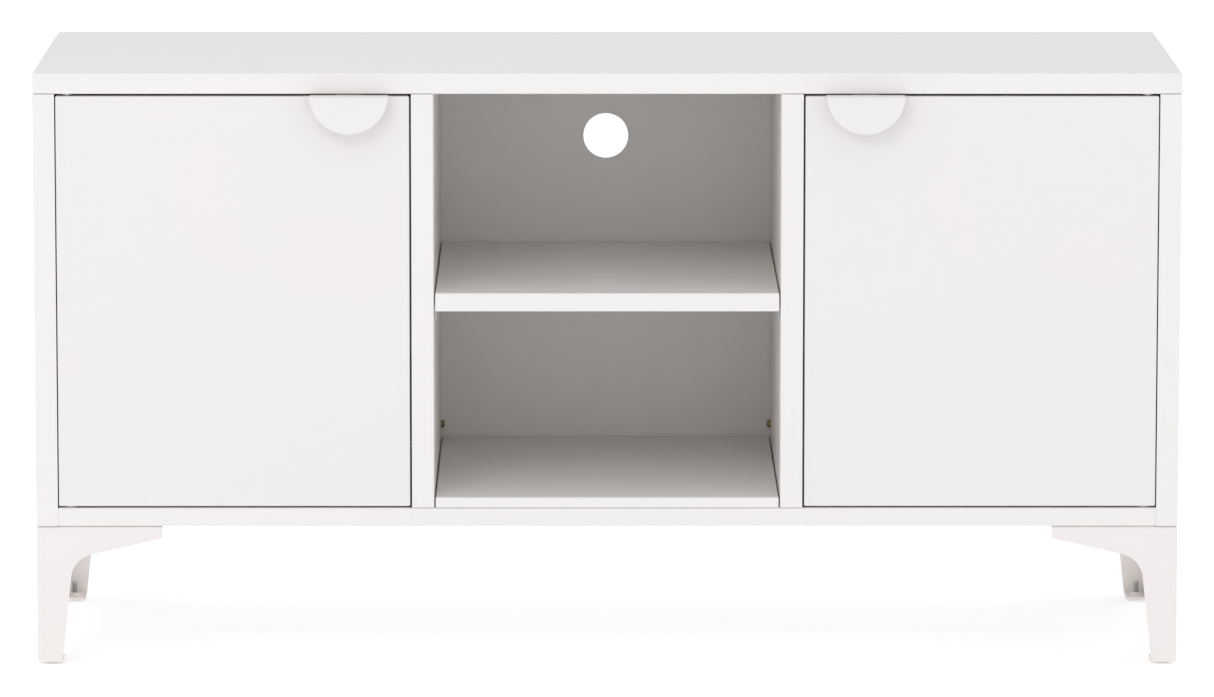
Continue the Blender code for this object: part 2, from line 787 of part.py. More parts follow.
def make_door(side, sx):
    """One door with all that swings with it, on an empty at its pivot axis."""
    pivot = bpy.data.objects.new(f"{side}_door_pivot", None)
    pivot.location = (sx * PIVOT_X, PIVOT_Y, DOOR_FOOT)
    bpy.context.scene.collection.objects.link(pivot)
    pieces = [make_door_skin(side, sx), make_door_rib(side, sx), make_handle(side, sx)]
    for number, (x, y) in enumerate(rivet_places(sx), 1):
        pieces.append(make_rivet(f"{side}_handle_rivet_{number}", x, y))
    pieces.append(make_pin(f"{side}_door_top_pin", sx, DOOR_TOP, 1, BAND_FOOT))
    pieces.append(make_pin(f"{side}_door_bottom_pin", sx, DOOR_FOOT, -1, FLOOR))
    for piece in pieces:
        keep_on(pivot, piece)
    make_bush(f"{side}_door_top_bush", sx, BAND_FOOT, 1)
    make_bush(f"{side}_door_bottom_bush", sx, FLOOR, -1)
    make_catch(side, sx)


# ---- legs ------------------------------------------------------------------------------
def leg_outline(foot):
    """One face of a leg, as (distance from the corner, height) points, round its free edge.

    The gusset slopes down from its end to the taper of the leg, and an arc joins the two.
    """
    gusset = Vector((-1, -GUSSET_SLOPE)).normalized()
    taper = Vector((-LEG_TAPER, -1)).normalized()
    start = Vector((GUSSET_LENGTH, LEG_TOP - GUSSET_END))
    foot_corner = Vector((foot, LEG_BASE))
    # where the two straight edges would meet
    gap = foot_corner - start
    run = (gap.x * taper.y - gap.y * taper.x) / (gusset.x * taper.y - gusset.y * taper.x)
    meet = start + gusset * run
    turn = math.acos(gusset.dot(taper))
    reach = GUSSET_FILLET * math.tan(turn / 2)
    arc_start = meet - gusset * reach
    centre = arc_start + Vector((-gusset.y, gusset.x)) * -GUSSET_FILLET
    if (centre - meet).dot(taper - gusset) < 0:
        centre = arc_start + Vector((-gusset.y, gusset.x)) * GUSSET_FILLET
    spoke = arc_start - centre
    sense = math.copysign(1, gusset.x * taper.y - gusset.y * taper.x)
    arc = []
    for i in range(FILLET_STEPS + 1):
        angle = sense * turn * i / FILLET_STEPS
        arc.append(centre + Matrix.Rotation(angle, 2) @ spoke)
    return [Vector((0, LEG_TOP)), Vector((GUSSET_LENGTH, LEG_TOP)), start, *arc, foot_corner]


def make_leg(end, sy, side, sx):
    """A corner leg folded from one sheet: two faces, a screw-on fold at the top and a foot plate."""
    corner = Vector((sx * BODY_WIDTH / 2, MIDDLE_Y + sy * BODY_DEPTH / 2, 0))
    face_x = [Vector((-sx * u, 0, v)) for u, v in leg_outline(LEG_FOOT_WIDTH)]
    face_y = [Vector((0, -sy * u, v)) for u, v in leg_outline(LEG_FOOT_DEPTH)]
    foot = Vector((0, 0, LEG_BASE))
    top = Vector((0, 0, LEG_TOP))
    along_x = Vector((-sx, 0, 0))
    along_y = Vector((0, -sy, 0))
    long, wide = GUSSET_LENGTH, LEG_TOP_FOLD
    top_fold = [
        top,
        top + along_x * long,
        top + along_x * long + along_y * wide,
        top + (along_x + along_y) * wide,
        top + along_x * wide + along_y * long,
        top + along_y * long,
    ]
    foot_plate = [
        foot,
        foot + along_x * LEG_FOOT_WIDTH,
        foot + along_x * LEG_FOOT_WIDTH + along_y * LEG_FOOT_DEPTH,
        foot + along_y * LEG_FOOT_DEPTH,
    ]
    faces = [
        (face_x + [foot], BACKWARD * sy),
        (face_y + [foot], RIGHT * sx),
        (top_fold, UP),
        (foot_plate, -UP),
    ]
    made = folded_sheet(f"{end}_{side}_leg", faces, white_leg_coat(), LEG_SHEET, LEG_BEND)
    made.location = corner
    stud = corner + along_x * FOOT_IN + along_y * FOOT_BACK
    nut = stud + UP * (LEG_BASE + LEG_SHEET / 2 + NUT_HEIGHT / 2)
    bm = bmesh.new()
    add_cylinder(bm, nut, UP, NUT_RADIUS, NUT_HEIGHT, 6)
    combine(made, helper_shape(f"{end}_{side}_leg_nut", bm), "UNION")
    drill(made, f"{end}_{side}_stud_hole", [nut], UP, FOOT_STUD_RADIUS + FIT, 4 * NUT_HEIGHT)
    x, y = leg_bolt_places()[end, side]
    hole = (x, y, LEG_TOP - LEG_SHEET / 2)
    drill(made, f"{end}_{side}_leg_bolt_hole", [hole], UP, BOLT_RADIUS + FIT, 4 * LEG_SHEET, 12)
    seat = (x, y, LEG_TOP - LEG_SHEET - FIT)
    make_bolt(f"{end}_{side}_leg_bolt", seat, UP, BOLT_HEAD_RADIUS)
    make_foot(f"{end}_{side}_foot", stud)


def make_foot(name, stud):
    """A levelling foot: a nylon pad on a steel stud that screws up into the leg."""
    profile = (
        (0, 0),
        (FOOT_PAD_RADIUS - FOOT_ROUND, 0),
        (FOOT_PAD_RADIUS, FOOT_ROUND),
        (FOOT_PAD_RADIUS, FOOT_PAD),
        (FOOT_STUD_RADIUS, FOOT_PAD),
        (FOOT_STUD_RADIUS, FOOT_STUD),
        (0, FOOT_STUD),
    )
    made = turned(name, profile, white_nylon(), 24)
    made.location = stud


def build():
    for leftover in list(bpy.data.objects):
        bpy.data.objects.remove(leftover, do_unlink=True)
    make_top_panel()
    make_bottom_panel()
    make_back_panel()
    make_shelves()
    make_rear_bolts()
    for side, sx in SIDES:
        make_side_panel(side, sx)
        make_upright(side, sx)
        make_door(side, sx)
        for end, sy in ENDS:
            make_leg(end, sy, side, sx)


build()
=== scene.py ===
"""A white TV stand of folded and powder-coated sheet steel, put together in a fitter's order."""

import math

import bmesh
import bpy
from mathutils import Matrix, Vector


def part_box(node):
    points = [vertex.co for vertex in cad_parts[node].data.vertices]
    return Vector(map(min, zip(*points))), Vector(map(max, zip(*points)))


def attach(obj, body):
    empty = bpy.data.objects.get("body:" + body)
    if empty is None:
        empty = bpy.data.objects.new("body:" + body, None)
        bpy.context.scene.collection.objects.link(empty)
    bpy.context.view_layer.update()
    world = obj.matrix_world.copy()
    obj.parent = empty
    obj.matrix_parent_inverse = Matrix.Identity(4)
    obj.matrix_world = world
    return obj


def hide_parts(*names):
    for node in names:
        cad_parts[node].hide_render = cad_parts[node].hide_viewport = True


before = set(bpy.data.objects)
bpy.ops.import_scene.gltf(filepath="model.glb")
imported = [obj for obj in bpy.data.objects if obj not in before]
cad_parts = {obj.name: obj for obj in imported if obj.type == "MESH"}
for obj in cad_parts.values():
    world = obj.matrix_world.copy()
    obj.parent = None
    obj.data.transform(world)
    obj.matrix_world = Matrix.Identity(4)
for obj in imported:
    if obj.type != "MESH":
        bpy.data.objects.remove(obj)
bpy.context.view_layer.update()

RIGHT = Vector((1, 0, 0))
REARWARD = Vector((0, 1, 0))
UP = Vector((0, 0, 1))
SIDES = (("left", -1), ("right", 1))
ENDS = (("front", -1), ("rear", 1))


# ---- top panel -------------------------------------------------------------------------
# A tray of 0.8 mm cold-rolled steel sheet. Its four edges are folded down into a band and
# then in again as a lip, and the corners are welded and ground before the powder coat.
SHEET = 0.0008
FOLD_RADIUS = 0.0018
FOLD_STEPS = 6
TOP_LIP = 0.0300
BUSH_HOLE_RADIUS = 0.0048
SHARP_ANGLE = 38
FOLD_LEAST_ANGLE = 20
SAME_PLACE = 1e-7
ROUND_STEPS = 48
SHEET_CUT = 4 * SHEET
COAT_DRIFT_MM = 260
COAT_FILM_MM = 24
COAT_PEEL_MM = 1.8
COAT_PEEL_DEPTH = 0.00003
COAT_ROUGHNESS = (0.36, 0.44)
SHEET_WAVE_DEPTH = 0.0004
PANEL_WHITE = "#F1EDE8"
PANEL_WHITE_COOL = "#F0EDEB"


def linear(code):
    """A hex sRGB colour as linear RGBA."""
    channels = [int(code[i : i + 2], 16) / 255 for i in (1, 3, 5)]
    return [c / 12.92 if c <= 0.04045 else ((c + 0.055) / 1.055) ** 2.4 for c in channels] + [1.0]


def per_metre(millimetres):
    """A texture scale for features of this size."""
    return 1000 / millimetres


def add_node(tree, kind, settings=None, links=None):
    """A node of this kind, with its sockets or properties set and its inputs linked."""
    node = tree.nodes.new(kind)
    for name, value in (settings or {}).items():
        if isinstance(name, int) or name in node.inputs:
            node.inputs[name].default_value = value
        else:
            setattr(node, name, value)
    for name, source in (links or {}).items():
        tree.links.new(source, node.inputs[name])
    return node


def new_material(name):
    """An empty node material, with the object's own coordinates in metres to place its patterns."""
    made = bpy.data.materials.new(name)
    made.use_nodes = True
    made.node_tree.nodes.clear()
    place = add_node(made.node_tree, "ShaderNodeTexCoord").outputs["Object"]
    return made, made.node_tree, place


def close_material(made, tree, settings, links):
    """Puts the Principled shader and the output on a material."""
    shader = add_node(tree, "ShaderNodeBsdfPrincipled", settings, links)
    add_node(tree, "ShaderNodeOutputMaterial", None, {"Surface": shader.outputs[0]})
    return made


def polyester_powder_coat(name, white, white_cool):
    """Polyester powder, sprayed dry and baked: satin, with a faint orange peel.

    The film is a little uneven, so the white drifts over a hand's breadth and its gloss over a thumb's.
    """
    made, tree, place = new_material(name)
    drift = add_node(
        tree,
        "ShaderNodeTexNoise",
        {"Scale": per_metre(COAT_DRIFT_MM), "Detail": 2.0, "Roughness": 0.4},
        {"Vector": place},
    )
    film = add_node(
        tree,
        "ShaderNodeTexNoise",
        {"Scale": per_metre(COAT_FILM_MM), "Detail": 3.0},
        {"Vector": place},
    )
    tint = add_node(
        tree,
        "ShaderNodeMix",
        {"data_type": "RGBA", 6: linear(white), 7: linear(white_cool)},
        {0: drift.outputs[0]},
    )
    gloss = add_node(
        tree,
        "ShaderNodeMapRange",
        {"From Min": 0.3, "From Max": 0.7, "To Min": COAT_ROUGHNESS[0], "To Max": COAT_ROUGHNESS[1]},
        {"Value": film.outputs[0]},
    )
    # real orange peel is 1 to 2 mm across and a few hundredths of a millimetre deep
    peel = add_node(
        tree,
        "ShaderNodeTexNoise",
        {"Scale": per_metre(COAT_PEEL_MM), "Detail": 1.0, "Roughness": 0.4},
        {"Vector": place},
    )
    fine = add_node(
        tree,
        "ShaderNodeBump",
        {"Strength": 1.0, "Distance": COAT_PEEL_DEPTH},
        {"Height": peel.outputs[0]},
    )
    # sheet this thin is never quite flat between its folds
    wave = add_node(
        tree,
        "ShaderNodeBump",
        {"Strength": 1.0, "Distance": SHEET_WAVE_DEPTH},
        {"Height": drift.outputs[0], "Normal": fine.outputs[0]},
    )
    return close_material(
        made,
        tree,
        {"IOR": 1.5, "Metallic": 0.0},
        {
            "Base Color": tint.outputs[2],
            "Roughness": gloss.outputs[0],
            "Normal": wave.outputs[0],
        },
    )


panel_coat = polyester_powder_coat("polyester_powder_coat_on_panels", PANEL_WHITE, PANEL_WHITE_COOL)


def add_mesh(name, bm, finish):
    """An object from this bmesh, in the scene, with one material."""
    mesh = bpy.data.meshes.new(name)
    bm.to_mesh(mesh)
    bm.free()
    mesh.materials.append(finish)
    made = bpy.data.objects.new(name, mesh)
    bpy.context.scene.collection.objects.link(made)
    return made


def settle(made, sharp=SHARP_ANGLE):
    """Applies the modifiers, and shades bends smoothly while flat faces stay flat."""
    bpy.context.view_layer.update()
    solid = made.evaluated_get(bpy.context.evaluated_depsgraph_get())
    made.data = bpy.data.meshes.new_from_object(solid)
    made.modifiers.clear()
    made.data.shade_smooth()
    made.data.set_sharp_from_angle(angle=math.radians(sharp))
    even = made.modifiers.new("Even normals", "WEIGHTED_NORMAL")
    even.keep_sharp = True
    even.weight = 100
    return made


def put_on(made, body, slot, *nodes):
    """The finished piece rides on its body and stands for its CAD nodes. Its slot is not used."""
    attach(made, body)
    if nodes:
        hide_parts(*nodes)
    return made


def folded_sheet(name, faces, finish, sheet=SHEET, radius=FOLD_RADIUS, steps=FOLD_STEPS):
    """A folded sheet from its outer faces, each given as (corners, outward direction).

    Faces that share an edge are joined there. Folds are rounded, then the sheet is thickened inwards.
    """
    bm = bmesh.new()
    points = {}
    for corners, outward in faces:
        ring = []
        for corner in corners:
            spot = tuple(round(value, 6) for value in corner)
            if spot not in points:
                points[spot] = bm.verts.new(corner)
            if not ring or points[spot] is not ring[-1]:
                ring.append(points[spot])
        face = bm.faces.new(ring)
        face.normal_update()
        if face.normal.dot(outward) < 0:
            face.normal_flip()
    made = add_mesh(name, bm, finish)
    rounding = made.modifiers.new("Folds", "BEVEL")
    rounding.width = radius
    rounding.segments = steps
    rounding.limit_method = "ANGLE"
    rounding.angle_limit = math.radians(FOLD_LEAST_ANGLE)
    thickness = made.modifiers.new("Sheet", "SOLIDIFY")
    thickness.thickness = sheet
    thickness.offset = -1.0
    thickness.use_even_offset = True
    thickness.use_quality_normals = True
    return made


def fold(depth, lip=0.0, trim=0.0, relief=0.0, slot=0.0):
    """A strip folded down along an edge, with a lip folded in under it.

    Trim is cut off each end of the strip. Relief and slot are the cut into the sheet beside it.
    """
    recess = relief if trim and not slot else 0.0
    return {
        "depth": depth,
        "lip": lip,
        "trim": trim,
        "relief": relief,
        "slot": slot,
        "recess": recess,
    }


def tray(name, centre, size, normal, up, folds, finish):
    """A sheet folded down along its edges. Its outer face is at centre and looks along normal."""
    turn = Matrix((up.cross(normal), up, normal)).transposed().to_4x4()
    outward = (RIGHT, REARWARD, -RIGHT, -REARWARD)
    half = (size[0] / 2, size[1] / 2, size[0] / 2, size[1] / 2)
    edges = [folds.get(tuple(round(v) for v in turn @ side), fold(0.0)) for side in outward]
    outline = []
    faces = []
    for i, side in enumerate(outward):
        after, before = (i + 1) % 4, (i - 1) % 4
        along = outward[after]
        this = edges[i]
        start = side * half[i] - along * half[before]
        end = side * half[i] + along * half[after]
        corner_start = start + along * edges[before]["recess"] - side * this["recess"]
        corner_end = end - along * edges[after]["recess"] - side * this["recess"]
        outline.append(corner_start)
        if this["trim"]:
            fold_start = start + along * this["trim"]
            fold_end = end - along * this["trim"]
            inward = side * -this["relief"]
            if this["slot"]:
                outline.append(fold_start - along * this["slot"])
                outline.append(fold_start - along * this["slot"] + inward)
            outline += [fold_start + inward, fold_start, fold_end, fold_end + inward]
            if this["slot"]:
                outline.append(fold_end + along * this["slot"] + inward)
                outline.append(fold_end + along * this["slot"])
        else:
            fold_start, fold_end = corner_start, corner_end
            outline.append(corner_end)
        if this["depth"]:
            low_start = fold_start - UP * this["depth"]
            low_end = fold_end - UP * this["depth"]
            faces.append(((fold_start, fold_end, low_end, low_start), side))
        if this["lip"]:
            lip_start = low_start + (along - side) * this["lip"]
            lip_end = low_end - (along + side) * this["lip"]
            faces.append(((low_start, low_end, lip_end, lip_start), -UP))
    if (outline[0] - outline[-1]).length < SAME_PLACE:
        outline.pop()
    faces.append((outline, UP))
    made = folded_sheet(name, faces, finish)
    made.matrix_world = Matrix.Translation(centre) @ turn
    return made


def towards(direction):
    """A direction as a tray's folds name it."""
    return tuple(round(value) for value in direction)


def cylinder_in(bm, centre, axis, radius, length, steps=ROUND_STEPS):
    """A closed cylinder in bm, its middle at centre."""
    turn = UP.rotation_difference(axis).to_matrix().to_4x4()
    bmesh.ops.create_cone(
        bm,
        cap_ends=True,
        segments=steps,
        radius1=radius,
        radius2=radius,
        depth=length,
        matrix=Matrix.Translation(centre) @ turn,
    )


def punch(target, bm, operation="DIFFERENCE", crossing=False):
    """Cuts the closed shapes in bm from target, or joins them on, once target is settled.

    Shapes in bm that run through each other are crossing.
    """
    tool = add_mesh(f"{target.name}_tool", bm, target.data.materials[0])
    change = target.modifiers.new("Tool", "BOOLEAN")
    change.operation = operation
    change.solver = "EXACT"
    change.use_self = crossing
    change.object = tool
    return tool


def settle_and_clear(made, tools, sharp=SHARP_ANGLE):
    """Settles a punched piece and takes its tools out of the scene."""
    settle(made, sharp)
    for tool in tools:
        bpy.data.objects.remove(tool)
    return made


def middle(node):
    """The middle of a CAD node's box."""
    low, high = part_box(node)
    return (low + high) / 2


top_low, top_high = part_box("top_panel")
top_size = top_high - top_low
top_middle = middle("top_panel")
band = fold(top_size.z, lip=TOP_LIP)
top_panel = tray(
    "top_tray",
    Vector((top_middle.x, top_middle.y, top_high.z)),
    (top_size.x, top_size.y),
    UP,
    REARWARD,
    {towards(way): band for way in (RIGHT, -RIGHT, REARWARD, -REARWARD)},
    panel_coat,
)
holes = bmesh.new()
for side, _ in SIDES:
    spot = middle(f"{side}_door_top_bush")
    cylinder_in(holes, Vector((spot.x, spot.y, top_low.z)), UP, BUSH_HOLE_RADIUS, SHEET_CUT)
settle_and_clear(top_panel, [punch(top_panel, holes)])
put_on(top_panel, "cabinet", "panel_coat", "top_panel")


# ---- bottom panel ----------------------------------------------------------------------
# The same tray the other way of use: the doors and the centre floor stand on its flat face.
# Its front strip shows between the side panels, and its ends are folded down inside them.
BOTTOM_LIP = 0.0150
BOTTOM_RELIEF = 0.0030
BOTTOM_FRONT_TRIM = 0.0220
BOTTOM_REAR_TRIM = 0.0192
BOTTOM_END_TRIM = 0.0100
END_SLOT = 0.0015
END_FOLD_CLEARANCE = 0.0021
LEG_BOLT_HOLE_RADIUS = 0.0025

bottom_low, bottom_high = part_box("bottom_panel")
bottom_size = bottom_high - bottom_low
bottom_middle = middle("bottom_panel")
bottom_end = fold(
    bottom_size.z - END_FOLD_CLEARANCE, trim=BOTTOM_END_TRIM, relief=BOTTOM_RELIEF, slot=END_SLOT
)
bottom_panel = tray(
    "bottom_tray",
    Vector((bottom_middle.x, bottom_middle.y, bottom_high.z)),
    (bottom_size.x, bottom_size.y),
    UP,
    REARWARD,
    {
        towards(-REARWARD): fold(bottom_size.z, BOTTOM_LIP, BOTTOM_FRONT_TRIM, BOTTOM_RELIEF),
        towards(REARWARD): fold(bottom_size.z, BOTTOM_LIP, BOTTOM_REAR_TRIM, BOTTOM_RELIEF),
        towards(RIGHT): bottom_end,
        towards(-RIGHT): bottom_end,
    },
    panel_coat,
)

holes = bmesh.new()
for side, _ in SIDES:
    spot = middle(f"{side}_door_bottom_bush")
    cylinder_in(holes, Vector((spot.x, spot.y, bottom_high.z)), UP, BUSH_HOLE_RADIUS, SHEET_CUT)
    for end, _ in ENDS:
        spot = middle(f"{end}_{side}_leg_bolt")
        place = Vector((spot.x, spot.y, bottom_low.z))
        cylinder_in(holes, place, UP, LEG_BOLT_HOLE_RADIUS, SHEET_CUT)
settle_and_clear(bottom_panel, [punch(bottom_panel, holes)])
put_on(bottom_panel, "cabinet", "panel_coat", "bottom_panel")


# ---- side panels -----------------------------------------------------------------------
# One sheet each side, from under the top panel to the underside of the body. Its front and
# back edges are folded in to stiffen it and to cover the ends of the bottom panel.
SIDE_FRONT_RETURN = 0.0228
REAR_RETURN = 0.0200
END_FOLD = 0.0180
END_FOLD_TRIM = 0.0050
END_FOLD_RELIEF = 0.0030

end_fold = fold(END_FOLD, trim=END_FOLD_TRIM, relief=END_FOLD_RELIEF, slot=END_SLOT)
for side, sx in SIDES:
    low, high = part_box(f"{side}_side_panel")
    size = high - low
    side_panel = tray(
        f"{side}_side_sheet",
        Vector((high.x if sx > 0 else low.x, (low.y + high.y) / 2, (low.z + high.z) / 2)),
        (size.y, size.z),
        RIGHT * sx,
        UP,
        {
            towards(-REARWARD): fold(SIDE_FRONT_RETURN),
            towards(REARWARD): fold(REAR_RETURN),
            towards(UP): end_fold,
            towards(-UP): end_fold,
        },
        panel_coat,
    )
    settle(side_panel)
    put_on(side_panel, "cabinet", "panel_coat", f"{side}_side_panel")


# ---- uprights --------------------------------------------------------------------------
# Two walls beside the centre compartments, folded like the sides. Each web is slotted for
# the shelf clips and drilled near the back for the bolt that ties it to the bottom panel.
UPRIGHT_FRONT_RETURN = 0.0234
CLIP_SLOT_LONG = 0.0126
CLIP_SLOT_HIGH = 0.0021
CLIP_TONGUE_DROP = 0.0070
CLIP_SHEET = 0.0015
TIE_HOLE_RADIUS = 0.0025
TIE_HOLE_STEPS = 24
WEB_CUT = 6 * SHEET

for side, sx in SIDES:
    low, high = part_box(f"{side}_upright")
    size = high - low
    web = low.x if sx > 0 else high.x
    upright = tray(
        f"{side}_upright_sheet",
        Vector((web, (low.y + high.y) / 2, (low.z + high.z) / 2)),
        (size.y, size.z),
        RIGHT * -sx,
        UP,
        {
            towards(-REARWARD): fold(UPRIGHT_FRONT_RETURN),
            towards(REARWARD): fold(REAR_RETURN),
            towards(UP): end_fold,
            towards(-UP): end_fold,
        },
        panel_coat,
    )
    holes = bmesh.new()
    for end, _ in ENDS:
        clip_low, clip_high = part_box(f"centre_shelf_clip_{end}_{side}")
        slot_middle = Vector(
            (web, (clip_low.y + clip_high.y) / 2, clip_high.z - CLIP_TONGUE_DROP - CLIP_SHEET / 2)
        )
        scale = Matrix.Diagonal((WEB_CUT, CLIP_SLOT_LONG, CLIP_SLOT_HIGH, 1.0))
        bmesh.ops.create_cube(holes, size=1.0, matrix=Matrix.Translation(slot_middle) @ scale)
    tie = middle(f"{side}_upright_bolt")
    tie_place = Vector((web, tie.y, tie.z))
    cylinder_in(holes, tie_place, RIGHT, TIE_HOLE_RADIUS, WEB_CUT, TIE_HOLE_STEPS)
    settle_and_clear(upright, [punch(upright, holes)])
    put_on(upright, "cabinet", "panel_coat", f"{side}_upright")


# ---- back panel ------------------------------------------------------------------------
# A flat sheet held behind the uprights and inside the side panels' rear returns. A punched
# round hole behind the upper compartment lets leads through; its edge is rolled smooth.
CABLE_HOLE_RADIUS = 0.0245
CABLE_HOLE_RISE = 0.3454
CABLE_HOLE_ROLL = 0.0006
CABLE_HOLE_STEPS = 128
ROLL_STEPS = 12
POINT_JOIN = 1e-6
SCREW_HEAD_RADIUS = 0.0034
SCREW_HEAD = 0.0009
SCREW_RECESS = 0.0007
SCREW_RECESS_LONG = 0.0036
SCREW_RECESS_WIDE = 0.0008
BACK_SCREW_RISES = (0.030, 0.165, 0.300, 0.410)
BACK_SCREW_OFFSET = 0.0015
ZINC_PALE = "#C9CBC8"
ZINC_DARK = "#B4B7B8"
ZINC_GRAIN_MM = 1.4
ZINC_ROUGHNESS = (0.26, 0.42)

back_low, back_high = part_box("back_panel")
hole_middle = Vector((0, 0, bottom_high.z + CABLE_HOLE_RISE))
back_panel = tray(
    "back_sheet",
    Vector((0, back_high.y, (back_low.z + back_high.z) / 2)),
    (back_high.x - back_low.x, back_high.z - back_low.z),
    REARWARD,
    UP,
    {},
    panel_coat,
)
holes = bmesh.new()
hole_place = hole_middle + REARWARD * (back_low.y + back_high.y) / 2
hole_cut = CABLE_HOLE_RADIUS + CABLE_HOLE_ROLL / 2
cylinder_in(holes, hole_place, REARWARD, hole_cut, WEB_CUT, CABLE_HOLE_STEPS)
settle_and_clear(back_panel, [punch(back_panel, holes)])
put_on(back_panel, "cabinet", "panel_coat", "back_panel")


def turned(name, profile, finish, steps=ROUND_STEPS, sharp=SHARP_ANGLE):
    """A piece turned about its own Z axis, from (radius, height) points that close on the axis."""
    bm = bmesh.new()
    verts = [bm.verts.new((radius, 0, height)) for radius, height in profile]
    edges = [bm.edges.new(pair) for pair in zip(verts, verts[1:])]
    bmesh.ops.spin(
        bm,
        geom=verts + edges,
        cent=(0, 0, 0),
        axis=(0, 0, 1),
        angle=math.tau,
        steps=steps,
        use_merge=True,
    )
    bmesh.ops.remove_doubles(bm, verts=bm.verts, dist=POINT_JOIN)
    bmesh.ops.recalc_face_normals(bm, faces=bm.faces)
    made = add_mesh(name, bm, finish)
    made.data.shade_smooth()
    made.data.set_sharp_from_angle(angle=math.radians(sharp))
    return made


def ring_profile(radius, section, count=ROLL_STEPS):
    """The profile of a ring of this round section, as (radius, height) points that close."""
    return [
        (
            radius + section * math.cos(math.tau * i / count),
            section * math.sin(math.tau * i / count),
        )
        for i in range(count + 1)
    ]


def aim(made, place, axis):
    """Stands a turned piece at place with its own Z axis along axis."""
    turn = UP.rotation_difference(axis).to_matrix().to_4x4()
    made.matrix_world = Matrix.Translation(place) @ turn
    return made


hole_edge = turned(
    "cable_hole_rolled_edge",
    ring_profile(CABLE_HOLE_RADIUS + CABLE_HOLE_ROLL, CABLE_HOLE_ROLL),
    panel_coat,
    CABLE_HOLE_STEPS,
)
put_on(aim(hole_edge, hole_place, REARWARD), "cabinet", "panel_coat")


def zinc_plated_steel():
    """Bright zinc on turned and pressed steel, passivated blue-white: a soft grey mirror.

    The plating's grain clouds its gloss over a millimetre or so.
    """
    made, tree, place = new_material("blue_passivated_zinc_plate")
    grain = add_node(
        tree,
        "ShaderNodeTexNoise",
        {"Scale": per_metre(ZINC_GRAIN_MM), "Detail": 4.0},
        {"Vector": place},
    )
    tone = add_node(
        tree,
        "ShaderNodeMix",
        {"data_type": "RGBA", 6: linear(ZINC_PALE), 7: linear(ZINC_DARK)},
        {0: grain.outputs[0]},
    )
    gloss = add_node(
        tree,
        "ShaderNodeMapRange",
        {"From Min": 0.3, "From Max": 0.7, "To Min": ZINC_ROUGHNESS[0], "To Max": ZINC_ROUGHNESS[1]},
        {"Value": grain.outputs[0]},
    )
    return close_material(
        made,
        tree,
        {"Metallic": 1.0},
        {"Base Color": tone.outputs[2], "Roughness": gloss.outputs[0]},
    )


zinc_plate = zinc_plated_steel()


def cross_recess(bm, place, axis, depth, long, wide):
    """The two crossing cuts of a screwdriver recess, sunk from place along axis."""
    turn = UP.rotation_difference(axis).to_matrix().to_4x4()
    for spin in (0, math.pi / 2):
        bmesh.ops.create_cube(
            bm,
            size=1.0,
            matrix=Matrix.Translation(place)
            @ turn
            @ Matrix.Rotation(spin, 4, "Z")
            @ Matrix.Diagonal((long, wide, 2 * depth, 1.0)),
        )


def wafer_screw(name, place):
    """A wafer-head screw from behind, its low head on the back panel."""
    profile = (
        (0, SCREW_HEAD),
        (0.55 * SCREW_HEAD_RADIUS, SCREW_HEAD),
        (0.88 * SCREW_HEAD_RADIUS, 0.8 * SCREW_HEAD),
        (SCREW_HEAD_RADIUS, 0.4 * SCREW_HEAD),
        (SCREW_HEAD_RADIUS, 0.0),
        (0, 0.0),
    )
    made = aim(turned(name, profile, zinc_plate), place, REARWARD)
    bm = bmesh.new()
    crown = place + REARWARD * SCREW_HEAD
    cross_recess(bm, crown, REARWARD, SCREW_RECESS, SCREW_RECESS_LONG, SCREW_RECESS_WIDE)
    settle_and_clear(made, [punch(made, bm, crossing=True)])
    return put_on(made, "cabinet", "zinc_plated_steel")


for side, sx in SIDES:
    low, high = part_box(f"{side}_upright")
    row = low.x + high.x
    for number, rise in enumerate(BACK_SCREW_RISES, 1):
        spot = Vector((row / 2 + sx * BACK_SCREW_OFFSET, back_high.y, bottom_high.z + rise))
        wafer_screw(f"{side}_back_screw_{number}", spot)


# ---- centre floor and centre shelf -----------------------------------------------------
# Two shallow trays turned down on all sides. The floor lies on the bottom panel; the shelf
# hangs on four zinc-plated clips hooked through the uprights, with a hairline gap each side.
SHELF_LIP = 0.0100

for node, name, lip in (
    ("centre_floor", "centre_floor_tray", 0.0),
    ("centre_shelf", "centre_shelf_tray", SHELF_LIP),
    ("left_cabinet_shelf", "left_cabinet_shelf_tray", SHELF_LIP),
    ("right_cabinet_shelf", "right_cabinet_shelf_tray", SHELF_LIP),
):
    low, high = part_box(node)
    size = high - low
    edge = fold(size.z, lip=lip)
    shelf = tray(
        name,
        Vector(((low.x + high.x) / 2, (low.y + high.y) / 2, high.z)),
        (size.x, size.y),
        UP,
        REARWARD,
        {towards(way): edge for way in (RIGHT, -RIGHT, REARWARD, -REARWARD)},
        panel_coat,
    )
    settle(shelf)
    put_on(shelf, "cabinet", "panel_coat", node)


# ---- shelf clips -----------------------------------------------------------------------
# Strips of 1.5 mm zinc-plated steel folded to an angle, a ledge above and a drop below. The
# clips of the centre shelf have a tongue pushed out into the upright's slot.
CLIP_FOLD_RADIUS = 0.0022
CLIP_TONGUE_WIDE = 0.6  # of the clip
CLIP_TONGUE_REACH = 0.0038
CLIP_TONGUE_EDGE = 0.0003


def folded_strip(bm_faces, path, y0, y1, outward):
    """Adds the outer faces of a strip that follows an (x, z) path between two Y."""
    for (xa, za), (xb, zb), way in zip(path, path[1:], outward):
        ring = [
            Vector((xa, y0, za)),
            Vector((xb, y0, zb)),
            Vector((xb, y1, zb)),
            Vector((xa, y1, za)),
        ]
        bm_faces.append((ring, way))


